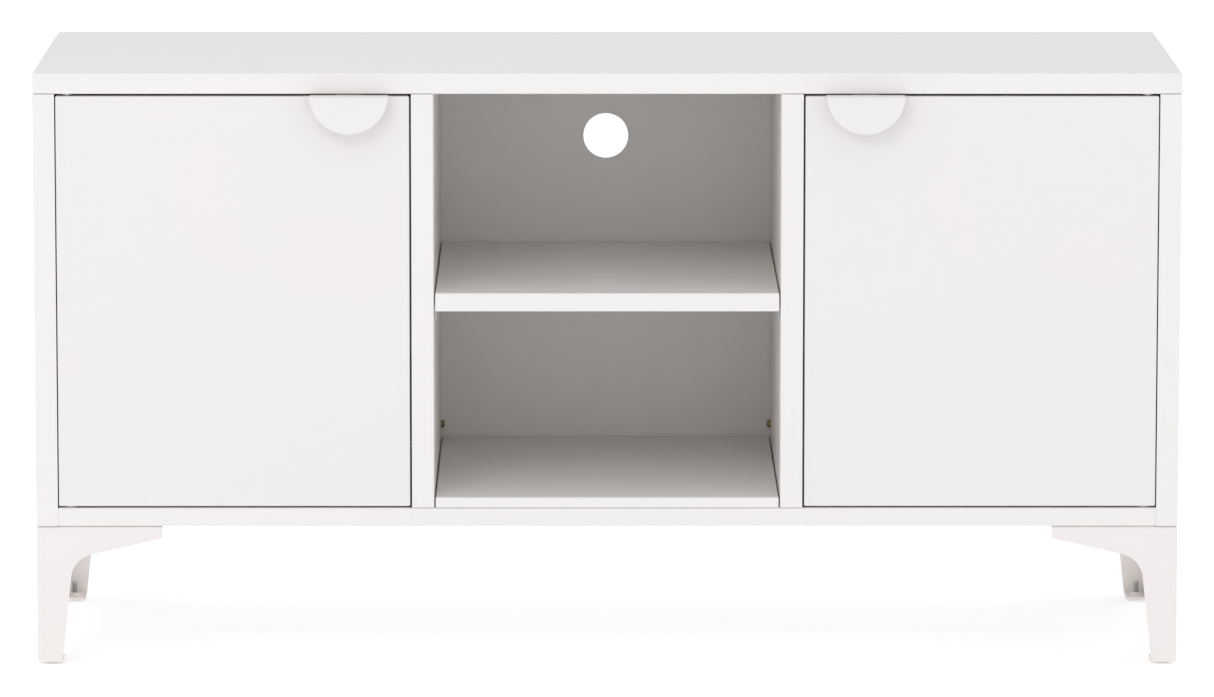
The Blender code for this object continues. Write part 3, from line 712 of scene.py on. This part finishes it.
def shelf_clip(node, hooked):
    """A folded clip in the place of its CAD node. Its ledge points away from the wall."""
    low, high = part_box(node)
    inner = node.endswith("inner")
    left = "left" in node
    if hooked:
        way = 1 if left else -1
        wall = low.x + CLIP_TONGUE_REACH if left else high.x - CLIP_TONGUE_REACH
    else:
        way = (1 if left else -1) * (-1 if inner else 1)
        wall = low.x if way > 0 else high.x
    tip = high.x if way > 0 else low.x
    faces = []
    path = ((tip, high.z), (wall, high.z), (wall, low.z))
    folded_strip(faces, path, low.y, high.y, (UP, RIGHT * -way))
    made = folded_sheet(f"{node}_strip", faces, zinc_plate, CLIP_SHEET, CLIP_FOLD_RADIUS)
    tools = []
    if hooked:
        end = low.x if way > 0 else high.x
        tongue = bmesh.new()
        place = Vector(((end + wall) / 2, (low.y + high.y) / 2, high.z - CLIP_TONGUE_DROP))
        place.z -= CLIP_SHEET / 2
        size = (abs(end - wall) + CLIP_SHEET, CLIP_TONGUE_WIDE * (high.y - low.y), CLIP_SHEET, 1.0)
        bmesh.ops.create_cube(
            tongue, size=1.0, matrix=Matrix.Translation(place) @ Matrix.Diagonal(size)
        )
        bmesh.ops.bevel(
            tongue,
            geom=tongue.edges[:],
            offset=CLIP_TONGUE_EDGE,
            segments=2,
            affect="EDGES",
            profile=0.5,
        )
        tools.append(punch(made, tongue, "UNION"))
    settle_and_clear(made, tools)
    return put_on(made, "cabinet", "zinc_plated_steel", node)


for end, _ in ENDS:
    for side, _ in SIDES:
        shelf_clip(f"centre_shelf_clip_{end}_{side}", hooked=True)
        for reach in ("inner", "outer"):
            shelf_clip(f"{side}_shelf_clip_{end}_{reach}", hooked=False)


# ---- doors -----------------------------------------------------------------------------
# Each door is a folded tray, face out, with a hat-section rib spot-welded up its inside to
# stop the sheet drumming. Both are coated together, in the same white as the body.
DOOR_LIP = 0.0120
PIN_HOLE_RADIUS = 0.0033
RIVET_HOLE_RADIUS = 0.0018
RIB_FOOT = 0.0120
WELD_RADIUS = 0.0025
WELD_RISE = 0.00025
WELD_SPACING = 0.0600
WELD_CROWN = 0.7  # of the weld's radius
SMALL_ROUND_STEPS = 24
DOOR_WHITE = "#EFEAE5"
DOOR_WHITE_COOL = "#ECE9E9"

door_coat = polyester_powder_coat("polyester_powder_coat_on_doors", DOOR_WHITE, DOOR_WHITE_COOL)


def hat_rib(name, node, finish):
    """A hat section in the place of its CAD node, its two feet on the door's inner face."""
    low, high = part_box(node)
    near = low.y + SHEET
    path = (
        (low.x, near),
        (low.x + RIB_FOOT, near),
        (low.x + RIB_FOOT, high.y),
        (high.x - RIB_FOOT, high.y),
        (high.x - RIB_FOOT, near),
        (high.x, near),
    )
    outward = (REARWARD, -RIGHT, REARWARD, RIGHT, REARWARD)
    faces = []
    for (xa, ya), (xb, yb), way in zip(path, path[1:], outward):
        ring = [
            Vector((xa, ya, low.z)),
            Vector((xb, yb, low.z)),
            Vector((xb, yb, high.z)),
            Vector((xa, ya, high.z)),
        ]
        faces.append((ring, way))
    return folded_sheet(name, faces, finish)


def weld_spots(name, node, finish):
    """Low round weld marks up both feet of a door's rib."""
    low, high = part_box(node)
    bm = bmesh.new()
    count = int((high.z - low.z) / WELD_SPACING)
    first = (low.z + high.z - (count - 1) * WELD_SPACING) / 2
    for x in (low.x + RIB_FOOT / 2, high.x - RIB_FOOT / 2):
        for i in range(count):
            place = Vector((x, low.y + SHEET + WELD_RISE / 2, first + i * WELD_SPACING))
            turn = UP.rotation_difference(REARWARD).to_matrix().to_4x4()
            bmesh.ops.create_cone(
                bm,
                cap_ends=True,
                segments=SMALL_ROUND_STEPS,
                radius1=WELD_RADIUS,
                radius2=WELD_CROWN * WELD_RADIUS,
                depth=WELD_RISE,
                matrix=Matrix.Translation(place) @ turn,
            )
    return settle(add_mesh(name, bm, finish))


for side, _ in SIDES:
    low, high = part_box(f"{side}_door")
    size = high - low
    edge = fold(size.y, lip=DOOR_LIP)
    door = tray(
        f"{side}_door_skin",
        Vector(((low.x + high.x) / 2, low.y, (low.z + high.z) / 2)),
        (size.x, size.z),
        -REARWARD,
        UP,
        {towards(way): edge for way in (RIGHT, -RIGHT, UP, -UP)},
        door_coat,
    )
    holes = bmesh.new()
    pin = middle(f"{side}_door_top_pin")
    for z in (low.z, high.z):
        cylinder_in(holes, Vector((pin.x, pin.y, z)), UP, PIN_HOLE_RADIUS, SHEET_CUT)
    for number in (1, 2):
        rivet = middle(f"{side}_handle_rivet_{number}")
        spot = Vector((rivet.x, rivet.y, high.z))
        cylinder_in(holes, spot, UP, RIVET_HOLE_RADIUS, SHEET_CUT, SMALL_ROUND_STEPS)
    settle_and_clear(door, [punch(door, holes)])
    put_on(door, f"{side}_door", "door_coat", f"{side}_door")
    rib = settle(hat_rib(f"{side}_door_hat_rib", f"{side}_door_rib", door_coat))
    put_on(rib, f"{side}_door", "door_coat", f"{side}_door_rib")
    welds = weld_spots(f"{side}_door_rib_welds", f"{side}_door_rib", door_coat)
    put_on(welds, f"{side}_door", "door_coat")


# ---- half-moon pulls -------------------------------------------------------------------
# A 1 mm steel plate for each door: an upright half disc, folded back along its straight
# top to a tab that lies over the door's edge, where two coated rivets hold it.
PULL_SHEET = 0.0010
PULL_FOLD_RADIUS = 0.0020
PULL_HEIGHT = 0.0390
PULL_TAB_WIDTH = 0.0280
PULL_STEPS = 72
PULL_SHOULDER_GAP = 0.0003
PULL_SHARP_ANGLE = 30
PULL_CUT = 4 * PULL_SHEET
RIVET_HEAD = 0.0005
RIVET_RADIUS = 0.0015
RIVET_DIMPLE = 0.0002
RIVET_STEPS = 32

for side, _ in SIDES:
    low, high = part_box(f"{side}_handle")
    door_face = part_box(f"{side}_door")[0].y
    half = (high.x - low.x) / 2
    centre_x = (low.x + high.x) / 2
    radius = (half**2 + PULL_HEIGHT**2) / (2 * PULL_HEIGHT)
    centre_z = high.z - PULL_HEIGHT + radius
    spread = math.asin(half / radius)
    disc = []
    for i in range(PULL_STEPS + 1):
        angle = -spread + 2 * spread * i / PULL_STEPS
        x = centre_x + radius * math.sin(angle)
        disc.append(Vector((x, low.y, centre_z - radius * math.cos(angle))))
    disc[0].z = disc[-1].z = high.z
    tab = PULL_TAB_WIDTH / 2
    shoulder = door_face - PULL_SHOULDER_GAP
    plate = [
        Vector((centre_x - half, low.y, high.z)),
        Vector((centre_x + half, low.y, high.z)),
        Vector((centre_x + half, shoulder, high.z)),
        Vector((centre_x + tab, shoulder, high.z)),
        Vector((centre_x + tab, high.y, high.z)),
        Vector((centre_x - tab, high.y, high.z)),
        Vector((centre_x - tab, shoulder, high.z)),
        Vector((centre_x - half, shoulder, high.z)),
    ]
    name = f"{side}_half_moon_pull"
    faces = [(disc, -REARWARD), (plate, UP)]
    pull = folded_sheet(name, faces, door_coat, PULL_SHEET, PULL_FOLD_RADIUS)
    holes = bmesh.new()
    for number in (1, 2):
        rivet = middle(f"{side}_handle_rivet_{number}")
        spot = Vector((rivet.x, rivet.y, high.z))
        cylinder_in(holes, spot, UP, RIVET_HOLE_RADIUS, PULL_CUT, SMALL_ROUND_STEPS)
    settle_and_clear(pull, [punch(pull, holes)], PULL_SHARP_ANGLE)
    put_on(pull, f"{side}_door", "door_coat", f"{side}_handle")
    for number in (1, 2):
        node = f"{side}_handle_rivet_{number}"
        low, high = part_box(node)
        head = (high.x - low.x) / 2
        profile = (
            (0, high.z - RIVET_DIMPLE),
            (0.3 * head, high.z - RIVET_DIMPLE),
            (0.34 * head, high.z),
            (0.6 * head, high.z),
            (head, high.z - 0.7 * RIVET_HEAD),
            (head, high.z - RIVET_HEAD),
            (RIVET_RADIUS, high.z - RIVET_HEAD),
            (RIVET_RADIUS, low.z + RIVET_HEAD),
            (head, low.z + RIVET_HEAD),
            (0.8 * head, low.z),
            (0, low.z),
        )
        rivet = turned(f"{node}_domed", profile, door_coat, RIVET_STEPS)
        aim(rivet, Vector((low.x + head, low.y + head, 0)), UP)
        put_on(rivet, f"{side}_door", "door_coat", node)


# ---- pivot pins and bushes -------------------------------------------------------------
# Turned steel pins pressed into the door's top and bottom folds run in nylon cup bushes that
# snap into the panels above and below, so each door hangs on its outer edge with no hinge.
PIN_RADIUS = 0.0030
PIN_HEAD = 0.0015
PIN_CHAMFER = 0.0005
PIN_HEAD_EDGE = 0.0003
BUSH_RADIUS = 0.0045
BUSH_COLLAR = 0.0008
BUSH_BORE = 0.0033
BUSH_END = 0.0010
BUSH_TIP_CHAMFER = 0.0006
BUSH_COLLAR_EDGE = 0.0002
BUSH_BORE_EDGE = 0.0003
NYLON_PALE = "#E8E6DF"
NYLON_DARK = "#DEDCD4"
NYLON_MOTTLE_MM = 3
NYLON_SKIN_DEPTH = 0.00002


def moulded_nylon():
    """Injection-moulded nylon 6, natural white: a little translucent, with a dull satin skin."""
    made, tree, place = new_material("moulded_natural_nylon")
    mottle = add_node(
        tree,
        "ShaderNodeTexNoise",
        {"Scale": per_metre(NYLON_MOTTLE_MM), "Detail": 3.0},
        {"Vector": place},
    )
    tone = add_node(
        tree,
        "ShaderNodeMix",
        {"data_type": "RGBA", 6: linear(NYLON_PALE), 7: linear(NYLON_DARK)},
        {0: mottle.outputs[0]},
    )
    skin = add_node(
        tree,
        "ShaderNodeBump",
        {"Strength": 1.0, "Distance": NYLON_SKIN_DEPTH},
        {"Height": mottle.outputs[0]},
    )
    settings = {
        "IOR": 1.53,
        "Roughness": 0.48,
        "Subsurface Weight": 0.15,
        "Subsurface Radius": (0.002, 0.002, 0.0018),
        "Subsurface Scale": 0.5,
    }
    return close_material(
        made, tree, settings, {"Base Color": tone.outputs[2], "Normal": skin.outputs[0]}
    )


natural_nylon = moulded_nylon()

for side, _ in SIDES:
    for level, way in (("top", 1), ("bottom", -1)):
        node = f"{side}_door_{level}_pin"
        low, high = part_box(node)
        head = (high.x - low.x) / 2
        foot, tip = (low.z, high.z) if way > 0 else (high.z, low.z)
        length = abs(tip - foot)
        profile = (
            (0, 0),
            (head - PIN_HEAD_EDGE, 0),
            (head, PIN_HEAD_EDGE),
            (head, PIN_HEAD),
            (PIN_RADIUS, PIN_HEAD),
            (PIN_RADIUS, length - PIN_CHAMFER),
            (PIN_RADIUS - PIN_CHAMFER, length),
            (0, length),
        )
        pin = turned(f"{node}_turned", [(r, way * z) for r, z in profile], zinc_plate)
        aim(pin, Vector((low.x + head, low.y + head, foot)), UP)
        put_on(pin, f"{side}_door", "zinc_plated_steel", node)

        node = f"{side}_door_{level}_bush"
        low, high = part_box(node)
        collar = (high.x - low.x) / 2
        mouth, end = (low.z, high.z) if way > 0 else (high.z, low.z)
        length = abs(end - mouth)
        profile = (
            (0, length),
            (BUSH_RADIUS - BUSH_TIP_CHAMFER, length),
            (BUSH_RADIUS, length - BUSH_TIP_CHAMFER),
            (BUSH_RADIUS, BUSH_COLLAR),
            (collar, BUSH_COLLAR),
            (collar, BUSH_COLLAR_EDGE),
            (collar - BUSH_COLLAR_EDGE, 0),
            (BUSH_BORE + BUSH_BORE_EDGE, 0),
            (BUSH_BORE, BUSH_BORE_EDGE),
            (BUSH_BORE, length - BUSH_END),
            (0, length - BUSH_END),
        )
        bush = turned(f"{node}_cup", [(r, way * z) for r, z in profile], natural_nylon)
        aim(bush, Vector((low.x + collar, low.y + collar, mouth)), UP)
        put_on(bush, "cabinet", "white_nylon", node)


# ---- magnetic catches ------------------------------------------------------------------
# A grey ABS case under the top panel's lip holds a magnet between two steel pole plates,
# which meet the door's upper lip.
CATCH_ROUND = 0.0012
POLE_LONG = 0.0260
POLE_THICK = 0.0012
POLE_APART = 0.0060
POLE_PROUD = 0.0002
POLE_DEPTH = 0.0060
POLE_EDGE = 0.0002
POCKET_CLEARANCE = 0.0006
POCKET_DEPTH = 0.0040
ABS_PALE = "#BDBDBB"
ABS_DARK = "#B4B4B3"
ABS_GRAIN_MM = 0.6
ABS_GRAIN_DEPTH = 0.00003


def moulded_abs():
    """Injection-moulded grey ABS with a fine spark-eroded texture, so it looks matt."""
    made, tree, place = new_material("moulded_grey_abs")
    grain = add_node(
        tree,
        "ShaderNodeTexNoise",
        {"Scale": per_metre(ABS_GRAIN_MM), "Detail": 2.0},
        {"Vector": place},
    )
    tone = add_node(
        tree,
        "ShaderNodeMix",
        {"data_type": "RGBA", 6: linear(ABS_PALE), 7: linear(ABS_DARK)},
        {0: grain.outputs[0]},
    )
    skin = add_node(
        tree,
        "ShaderNodeBump",
        {"Strength": 1.0, "Distance": ABS_GRAIN_DEPTH},
        {"Height": grain.outputs[0]},
    )
    return close_material(
        made,
        tree,
        {"IOR": 1.54, "Roughness": 0.5},
        {"Base Color": tone.outputs[2], "Normal": skin.outputs[0]},
    )


grey_abs = moulded_abs()

for side, _ in SIDES:
    node = f"{side}_magnet_catch"
    low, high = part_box(node)
    size = high - low
    place = (low + high) / 2
    case = bmesh.new()
    scale = Matrix.Diagonal((*size, 1.0))
    bmesh.ops.create_cube(case, size=1.0, matrix=Matrix.Translation(place) @ scale)
    catch = add_mesh(f"{node}_case", case, grey_abs)
    rounding = catch.modifiers.new("Moulded edges", "BEVEL")
    rounding.width = CATCH_ROUND
    rounding.segments = 5
    pocket = bmesh.new()
    mouth = Vector((place.x, low.y, place.z))
    for step in (-1, 1):
        slit = Matrix.Diagonal(
            (POLE_LONG + POCKET_CLEARANCE, POCKET_DEPTH, POLE_THICK + POCKET_CLEARANCE, 1.0)
        )
        spot = Matrix.Translation(mouth + UP * step * POLE_APART / 2)
        bmesh.ops.create_cube(pocket, size=1.0, matrix=spot @ slit)
    settle_and_clear(catch, [punch(catch, pocket)])
    put_on(catch, "cabinet", "catch_plastic", node)
    poles = bmesh.new()
    for step in (-1, 1):
        plate = Matrix.Diagonal((POLE_LONG, POLE_DEPTH, POLE_THICK, 1.0))
        spot = mouth + UP * step * POLE_APART / 2
        spot += REARWARD * (POLE_DEPTH / 2 - POLE_PROUD)
        bmesh.ops.create_cube(poles, size=1.0, matrix=Matrix.Translation(spot) @ plate)
    pole_plates = add_mesh(f"{node}_pole_plates", poles, zinc_plate)
    edges = pole_plates.modifiers.new("Sheared edges", "BEVEL")
    edges.width = POLE_EDGE
    edges.segments = 2
    settle(pole_plates)
    put_on(pole_plates, "cabinet", "zinc_plated_steel")


# ---- bolts -----------------------------------------------------------------------------
# Pan-head machine screws, zinc plated and yellow passivated, hold the legs and the uprights.
# The two in the uprights show as small brassy heads low at the back of the compartment.
BOLT_RADIUS = 0.0022
BOLT_HEAD = 0.0040
BOLT_RECESS_LONG = 0.0050
BOLT_RECESS_WIDE = 0.0011
BOLT_RECESS = 0.0020
THREAD_PITCH = 0.0007
THREAD_DEPTH = 0.00035
THREAD_RUNOUT = 0.0010
THREAD_LEAD = 0.0006
BOLT_CROWN = 0.35  # flat of the head, of its radius
BOLT_CROWN_STEPS = 6
BOLT_SHARP_ANGLE = 30
YELLOW_PALE = "#A69368"
YELLOW_DARK = "#857A5B"
YELLOW_FILM_MM = 2.5
YELLOW_ROUGHNESS = (0.34, 0.52)


def yellow_passivated_zinc():
    """Zinc plate with a yellow chromate film, which dulls to olive and brown in patches."""
    made, tree, place = new_material("yellow_passivated_zinc_plate")
    film = add_node(
        tree,
        "ShaderNodeTexNoise",
        {"Scale": per_metre(YELLOW_FILM_MM), "Detail": 4.0},
        {"Vector": place},
    )
    tone = add_node(
        tree,
        "ShaderNodeMix",
        {"data_type": "RGBA", 6: linear(YELLOW_PALE), 7: linear(YELLOW_DARK)},
        {0: film.outputs[0]},
    )
    gloss = add_node(
        tree,
        "ShaderNodeMapRange",
        {"From Min": 0.3, "From Max": 0.7, "To Min": YELLOW_ROUGHNESS[0], "To Max": YELLOW_ROUGHNESS[1]},
        {"Value": film.outputs[0]},
    )
    return close_material(
        made,
        tree,
        {"Metallic": 1.0},
        {"Base Color": tone.outputs[2], "Roughness": gloss.outputs[0]},
    )


yellow_zinc = yellow_passivated_zinc()


def thread(radius, start, end):
    """The flanks of a screw thread between two heights, as (radius, height) points."""
    count = int((end - start) / THREAD_PITCH)
    points = []
    for i in range(count):
        z = start + i * THREAD_PITCH
        points += [(radius - THREAD_DEPTH, z), (radius, z + THREAD_PITCH / 2)]
    return points + [(radius - THREAD_DEPTH, start + count * THREAD_PITCH)]


def pan_head_screw(name, seat, axis, head_radius, length):
    """A cross-recessed pan-head screw, its head's seat at this place and its shank along axis."""
    profile = [(0, -BOLT_HEAD)]
    for i in range(1, BOLT_CROWN_STEPS + 1):
        turn = math.pi / 2 * i / BOLT_CROWN_STEPS
        x = head_radius * (BOLT_CROWN + (1 - BOLT_CROWN) * math.sin(turn))
        profile.append((x, -BOLT_HEAD + 0.5 * BOLT_HEAD * (1 - math.cos(turn))))
    profile += [(head_radius, 0), (BOLT_RADIUS, 0)]
    profile += thread(BOLT_RADIUS, THREAD_RUNOUT, length - THREAD_LEAD)
    profile += [(0.6 * BOLT_RADIUS, length), (0, length)]
    screw = aim(turned(name, profile, yellow_zinc), seat, axis)
    cuts = bmesh.new()
    crown = seat - axis * BOLT_HEAD
    cross_recess(cuts, crown, axis, BOLT_RECESS, BOLT_RECESS_LONG, BOLT_RECESS_WIDE)
    return settle_and_clear(screw, [punch(screw, cuts, crossing=True)], BOLT_SHARP_ANGLE)


for side, sx in SIDES:
    node = f"{side}_upright_bolt"
    low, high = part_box(node)
    spot = (low + high) / 2
    inner = low.x if sx > 0 else high.x
    seat = Vector((inner + sx * BOLT_HEAD, spot.y, spot.z))
    radius = (high.y - low.y) / 2
    length = high.x - low.x - BOLT_HEAD
    screw = pan_head_screw(f"{node}_pan_head", seat, RIGHT * sx, radius, length)
    put_on(screw, "cabinet", "yellow_zinc_steel", node)


# ---- legs ------------------------------------------------------------------------------
# Each leg is laser cut and folded from 2 mm steel: two tapering faces with a gusset that
# runs out under the body, a fold on top for its screw and a foot plate with a welded nut.
LEG_SHEET = 0.0020
LEG_FOLD_RADIUS = 0.0030
LEG_FOOT_WIDTH = 0.0262
LEG_FOOT_DEPTH = 0.0390
LEG_TAPER = 0.108
GUSSET_LENGTH = 0.1325
GUSSET_END = 0.0125
GUSSET_SLOPE = 0.231
GUSSET_FILLET = 0.0280
FILLET_STEPS = 20
LEG_TOP_FOLD = 0.0200
NUT_RADIUS = 0.0055
NUT_HEIGHT = 0.0040
STUD_HOLE_RADIUS = 0.0033
STUD_CUT = 0.0200
BOLT_CUT = 0.0080
NUT_SIDES = 6
LEG_WHITE = "#F2EBE7"
LEG_WHITE_COOL = "#F0EBE8"

leg_coat = polyester_powder_coat("polyester_powder_coat_on_legs", LEG_WHITE, LEG_WHITE_COOL)


def leg_outline(foot, top, base):
    """One face of a leg, as (distance from the corner, height) points, round its free edge."""
    gusset = Vector((-1, -GUSSET_SLOPE)).normalized()
    taper = Vector((-LEG_TAPER, -1)).normalized()
    start = Vector((GUSSET_LENGTH, top - GUSSET_END))
    foot_corner = Vector((foot, base))
    gap = foot_corner - start
    run = (gap.x * taper.y - gap.y * taper.x) / (gusset.x * taper.y - gusset.y * taper.x)
    meet = start + gusset * run
    turn = math.acos(gusset.dot(taper))
    arc_start = meet - gusset * GUSSET_FILLET * math.tan(turn / 2)
    centre = arc_start - Vector((-gusset.y, gusset.x)) * GUSSET_FILLET
    if (centre - meet).dot(taper - gusset) < 0:
        centre = arc_start + Vector((-gusset.y, gusset.x)) * GUSSET_FILLET
    spoke = arc_start - centre
    sense = math.copysign(1, gusset.x * taper.y - gusset.y * taper.x)
    arc = [
        centre + Matrix.Rotation(sense * turn * i / FILLET_STEPS, 2) @ spoke
        for i in range(FILLET_STEPS + 1)
    ]
    return [Vector((0, top)), Vector((GUSSET_LENGTH, top)), start, *arc, foot_corner]


for end, sy in ENDS:
    for side, sx in SIDES:
        node = f"{end}_{side}_leg"
        low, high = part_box(node)
        corner = Vector((high.x if sx > 0 else low.x, high.y if sy > 0 else low.y, 0))
        face_x = [Vector((-sx * u, 0, v)) for u, v in leg_outline(LEG_FOOT_WIDTH, high.z, low.z)]
        face_y = [Vector((0, -sy * u, v)) for u, v in leg_outline(LEG_FOOT_DEPTH, high.z, low.z)]
        inward_x = Vector((-sx, 0, 0))
        inward_y = Vector((0, -sy, 0))
        foot = UP * low.z
        top = UP * high.z
        top_fold = [
            top,
            top + inward_x * GUSSET_LENGTH,
            top + inward_x * GUSSET_LENGTH + inward_y * LEG_TOP_FOLD,
            top + (inward_x + inward_y) * LEG_TOP_FOLD,
            top + inward_x * LEG_TOP_FOLD + inward_y * GUSSET_LENGTH,
            top + inward_y * GUSSET_LENGTH,
        ]
        foot_plate = [
            foot,
            foot + inward_x * LEG_FOOT_WIDTH,
            foot + inward_x * LEG_FOOT_WIDTH + inward_y * LEG_FOOT_DEPTH,
            foot + inward_y * LEG_FOOT_DEPTH,
        ]
        faces = [
            (face_x + [foot], REARWARD * sy),
            (face_y + [foot], RIGHT * sx),
            (top_fold, UP),
            (foot_plate, -UP),
        ]
        leg = folded_sheet(f"{node}_folded", faces, leg_coat, LEG_SHEET, LEG_FOLD_RADIUS)
        leg.location = corner
        stud = middle(f"{end}_{side}_foot")
        bolt_low, bolt_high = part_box(f"{node}_bolt")
        bolt = (bolt_low + bolt_high) / 2
        nut = bmesh.new()
        nut_place = Vector((stud.x, stud.y, low.z + LEG_SHEET / 2 + NUT_HEIGHT / 2))
        cylinder_in(nut, nut_place, UP, NUT_RADIUS, NUT_HEIGHT, NUT_SIDES)
        holes = bmesh.new()
        cylinder_in(holes, nut_place, UP, STUD_HOLE_RADIUS, STUD_CUT)
        bolt_place = Vector((bolt.x, bolt.y, high.z))
        cylinder_in(holes, bolt_place, UP, LEG_BOLT_HOLE_RADIUS, BOLT_CUT, SMALL_ROUND_STEPS)
        settle_and_clear(leg, [punch(leg, nut, "UNION"), punch(leg, holes)])
        put_on(leg, "cabinet", "leg_coat", node)
        radius = (bolt_high.x - bolt_low.x) / 2
        seat = Vector((bolt.x, bolt.y, bolt_low.z + BOLT_HEAD))
        length = bolt_high.z - seat.z
        screw = pan_head_screw(f"{node}_screw", seat, UP, radius, length)
        put_on(screw, "cabinet", "yellow_zinc_steel", f"{node}_bolt")


# ---- levelling feet --------------------------------------------------------------------
# A nylon pad moulded on a zinc-plated threaded stud, screwed up into each leg's nut. Turned
# by hand, it takes up an uneven floor.
FOOT_PAD = 0.0020
FOOT_ROUND = 0.0008
STUD_RADIUS = 0.0030
STUD_LEAD = 0.0008
STUD_TIP = 0.7  # of its radius
STUD_SHARP_ANGLE = 20
PAD_EDGE = 0.0003

for end, _ in ENDS:
    for side, _ in SIDES:
        node = f"{end}_{side}_foot"
        low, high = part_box(node)
        radius = (high.x - low.x) / 2
        place = Vector((low.x + radius, low.y + radius, low.z))
        height = high.z - low.z
        pad_profile = (
            (0, 0),
            (radius - FOOT_ROUND, 0),
            (radius - 0.3 * FOOT_ROUND, 0.3 * FOOT_ROUND),
            (radius, FOOT_ROUND),
            (radius, FOOT_PAD - PAD_EDGE),
            (radius - PAD_EDGE, FOOT_PAD),
            (0, FOOT_PAD),
        )
        pad = aim(turned(f"{node}_pad", pad_profile, natural_nylon), place, UP)
        put_on(pad, node, "white_nylon", node)
        stud_profile = [(0, FOOT_PAD - PAD_EDGE)]
        stud_profile += thread(STUD_RADIUS, FOOT_PAD - PAD_EDGE, height - STUD_LEAD)
        stud_profile += [(STUD_TIP * STUD_RADIUS, height), (0, height)]
        stud = turned(f"{node}_stud", stud_profile, zinc_plate, sharp=STUD_SHARP_ANGLE)
        put_on(aim(stud, place, UP), node, "zinc_plated_steel")


# ---- floor, light and camera -----------------------------------------------------------
# A plain white floor in a white room, with one broad softbox above, in front and to the left.
FLOOR_RADIUS = 60.0
FLOOR_WHITE = "#FCFCFC"
FLOOR_GLOW = 0.26
FLOOR_STIPPLE_MM = 4
FLOOR_STIPPLE_DEPTH = 0.00005
FLOOR_SEGMENTS = 128
ROOM_HORIZON = 0.74
ROOM_ZENITH = 1.0
ROOM_COLOUR = "#F9FBFF"
KEY_PLACE = (-1.2, -3.2, 2.7)
KEY_AIM = (0.0, 0.0, 0.35)
KEY_WIDTH = 1.2
KEY_HEIGHT = 0.9
KEY_POWER = 13.0
KEY_COLOUR = "#FFFAF6"
CAMERA_PLACE = (-0.0330, -8.2871, 1.5082)
CAMERA_PITCH = math.radians(8.24)
CAMERA_YAW = math.radians(0.232)
CAMERA_ROLL = math.radians(0.026)
CAMERA_LENS = 231.27
CAMERA_SENSOR = 36.0
CAMERA_NEAR = 0.1
CAMERA_FAR = 200.0

ground = bmesh.new()
bmesh.ops.create_circle(ground, cap_ends=True, segments=FLOOR_SEGMENTS, radius=FLOOR_RADIUS)


def opal_acrylic():
    """Sanded opal acrylic, lit from below as on a product table: no shine and almost no shadow."""
    made, tree, place = new_material("sanded_opal_acrylic")
    stipple = add_node(
        tree,
        "ShaderNodeTexNoise",
        {"Scale": per_metre(FLOOR_STIPPLE_MM), "Detail": 2.0},
        {"Vector": place},
    )
    skin = add_node(
        tree,
        "ShaderNodeBump",
        {"Strength": 0.3, "Distance": FLOOR_STIPPLE_DEPTH},
        {"Height": stipple.outputs[0]},
    )
    settings = {
        "Base Color": linear(FLOOR_WHITE),
        "Roughness": 0.9,
        "Specular IOR Level": 0.1,
        "Emission Color": linear(FLOOR_WHITE),
        "Emission Strength": FLOOR_GLOW,
    }
    return close_material(made, tree, settings, {"Normal": skin.outputs[0]})


floor = add_mesh("studio_floor", ground, opal_acrylic())

room = bpy.data.worlds.new("white_room")
room.use_nodes = True
room.node_tree.nodes.clear()
direction = add_node(room.node_tree, "ShaderNodeTexCoord").outputs["Generated"]
height = add_node(room.node_tree, "ShaderNodeSeparateXYZ", None, {0: direction})
brightness = add_node(
    room.node_tree,
    "ShaderNodeMapRange",
    {"From Min": 0.0, "From Max": 1.0, "To Min": ROOM_HORIZON, "To Max": ROOM_ZENITH},
    {"Value": height.outputs["Z"]},
)
glow = add_node(
    room.node_tree,
    "ShaderNodeBackground",
    {"Color": linear(ROOM_COLOUR)},
    {"Strength": brightness.outputs[0]},
)
add_node(room.node_tree, "ShaderNodeOutputWorld", None, {"Surface": glow.outputs[0]})
bpy.context.scene.world = room


def soft_light(name, place, target, width, height, power, colour):
    """A rectangular softbox at place, facing target."""
    lamp = bpy.data.lights.new(name, "AREA")
    lamp.shape = "RECTANGLE"
    lamp.size = width
    lamp.size_y = height
    lamp.energy = power
    lamp.color = linear(colour)[:3]
    made = bpy.data.objects.new(name, lamp)
    bpy.context.scene.collection.objects.link(made)
    made.location = place
    made.rotation_euler = (Vector(target) - Vector(place)).to_track_quat("-Z", "Y").to_euler()
    return made


soft_light("key_softbox", KEY_PLACE, KEY_AIM, KEY_WIDTH, KEY_HEIGHT, KEY_POWER, KEY_COLOUR)

forward = Vector(
    (
        math.sin(CAMERA_YAW) * math.cos(CAMERA_PITCH),
        math.cos(CAMERA_YAW) * math.cos(CAMERA_PITCH),
        -math.sin(CAMERA_PITCH),
    )
)
across = forward.cross(UP).normalized()
above = across.cross(forward)
tilted_across = across * math.cos(CAMERA_ROLL) + above * math.sin(CAMERA_ROLL)
tilted_above = above * math.cos(CAMERA_ROLL) - across * math.sin(CAMERA_ROLL)
lens = bpy.data.cameras.new("camera")
lens.lens = CAMERA_LENS
lens.sensor_width = CAMERA_SENSOR
lens.clip_start = CAMERA_NEAR
lens.clip_end = CAMERA_FAR
camera = bpy.data.objects.new("camera", lens)
bpy.context.scene.collection.objects.link(camera)
basis = Matrix((tilted_across, tilted_above, -forward)).transposed().to_4x4()
camera.matrix_world = Matrix.Translation(CAMERA_PLACE) @ basis
bpy.context.scene.camera = camera
bpy.context.scene.view_settings.view_transform = "Standard"
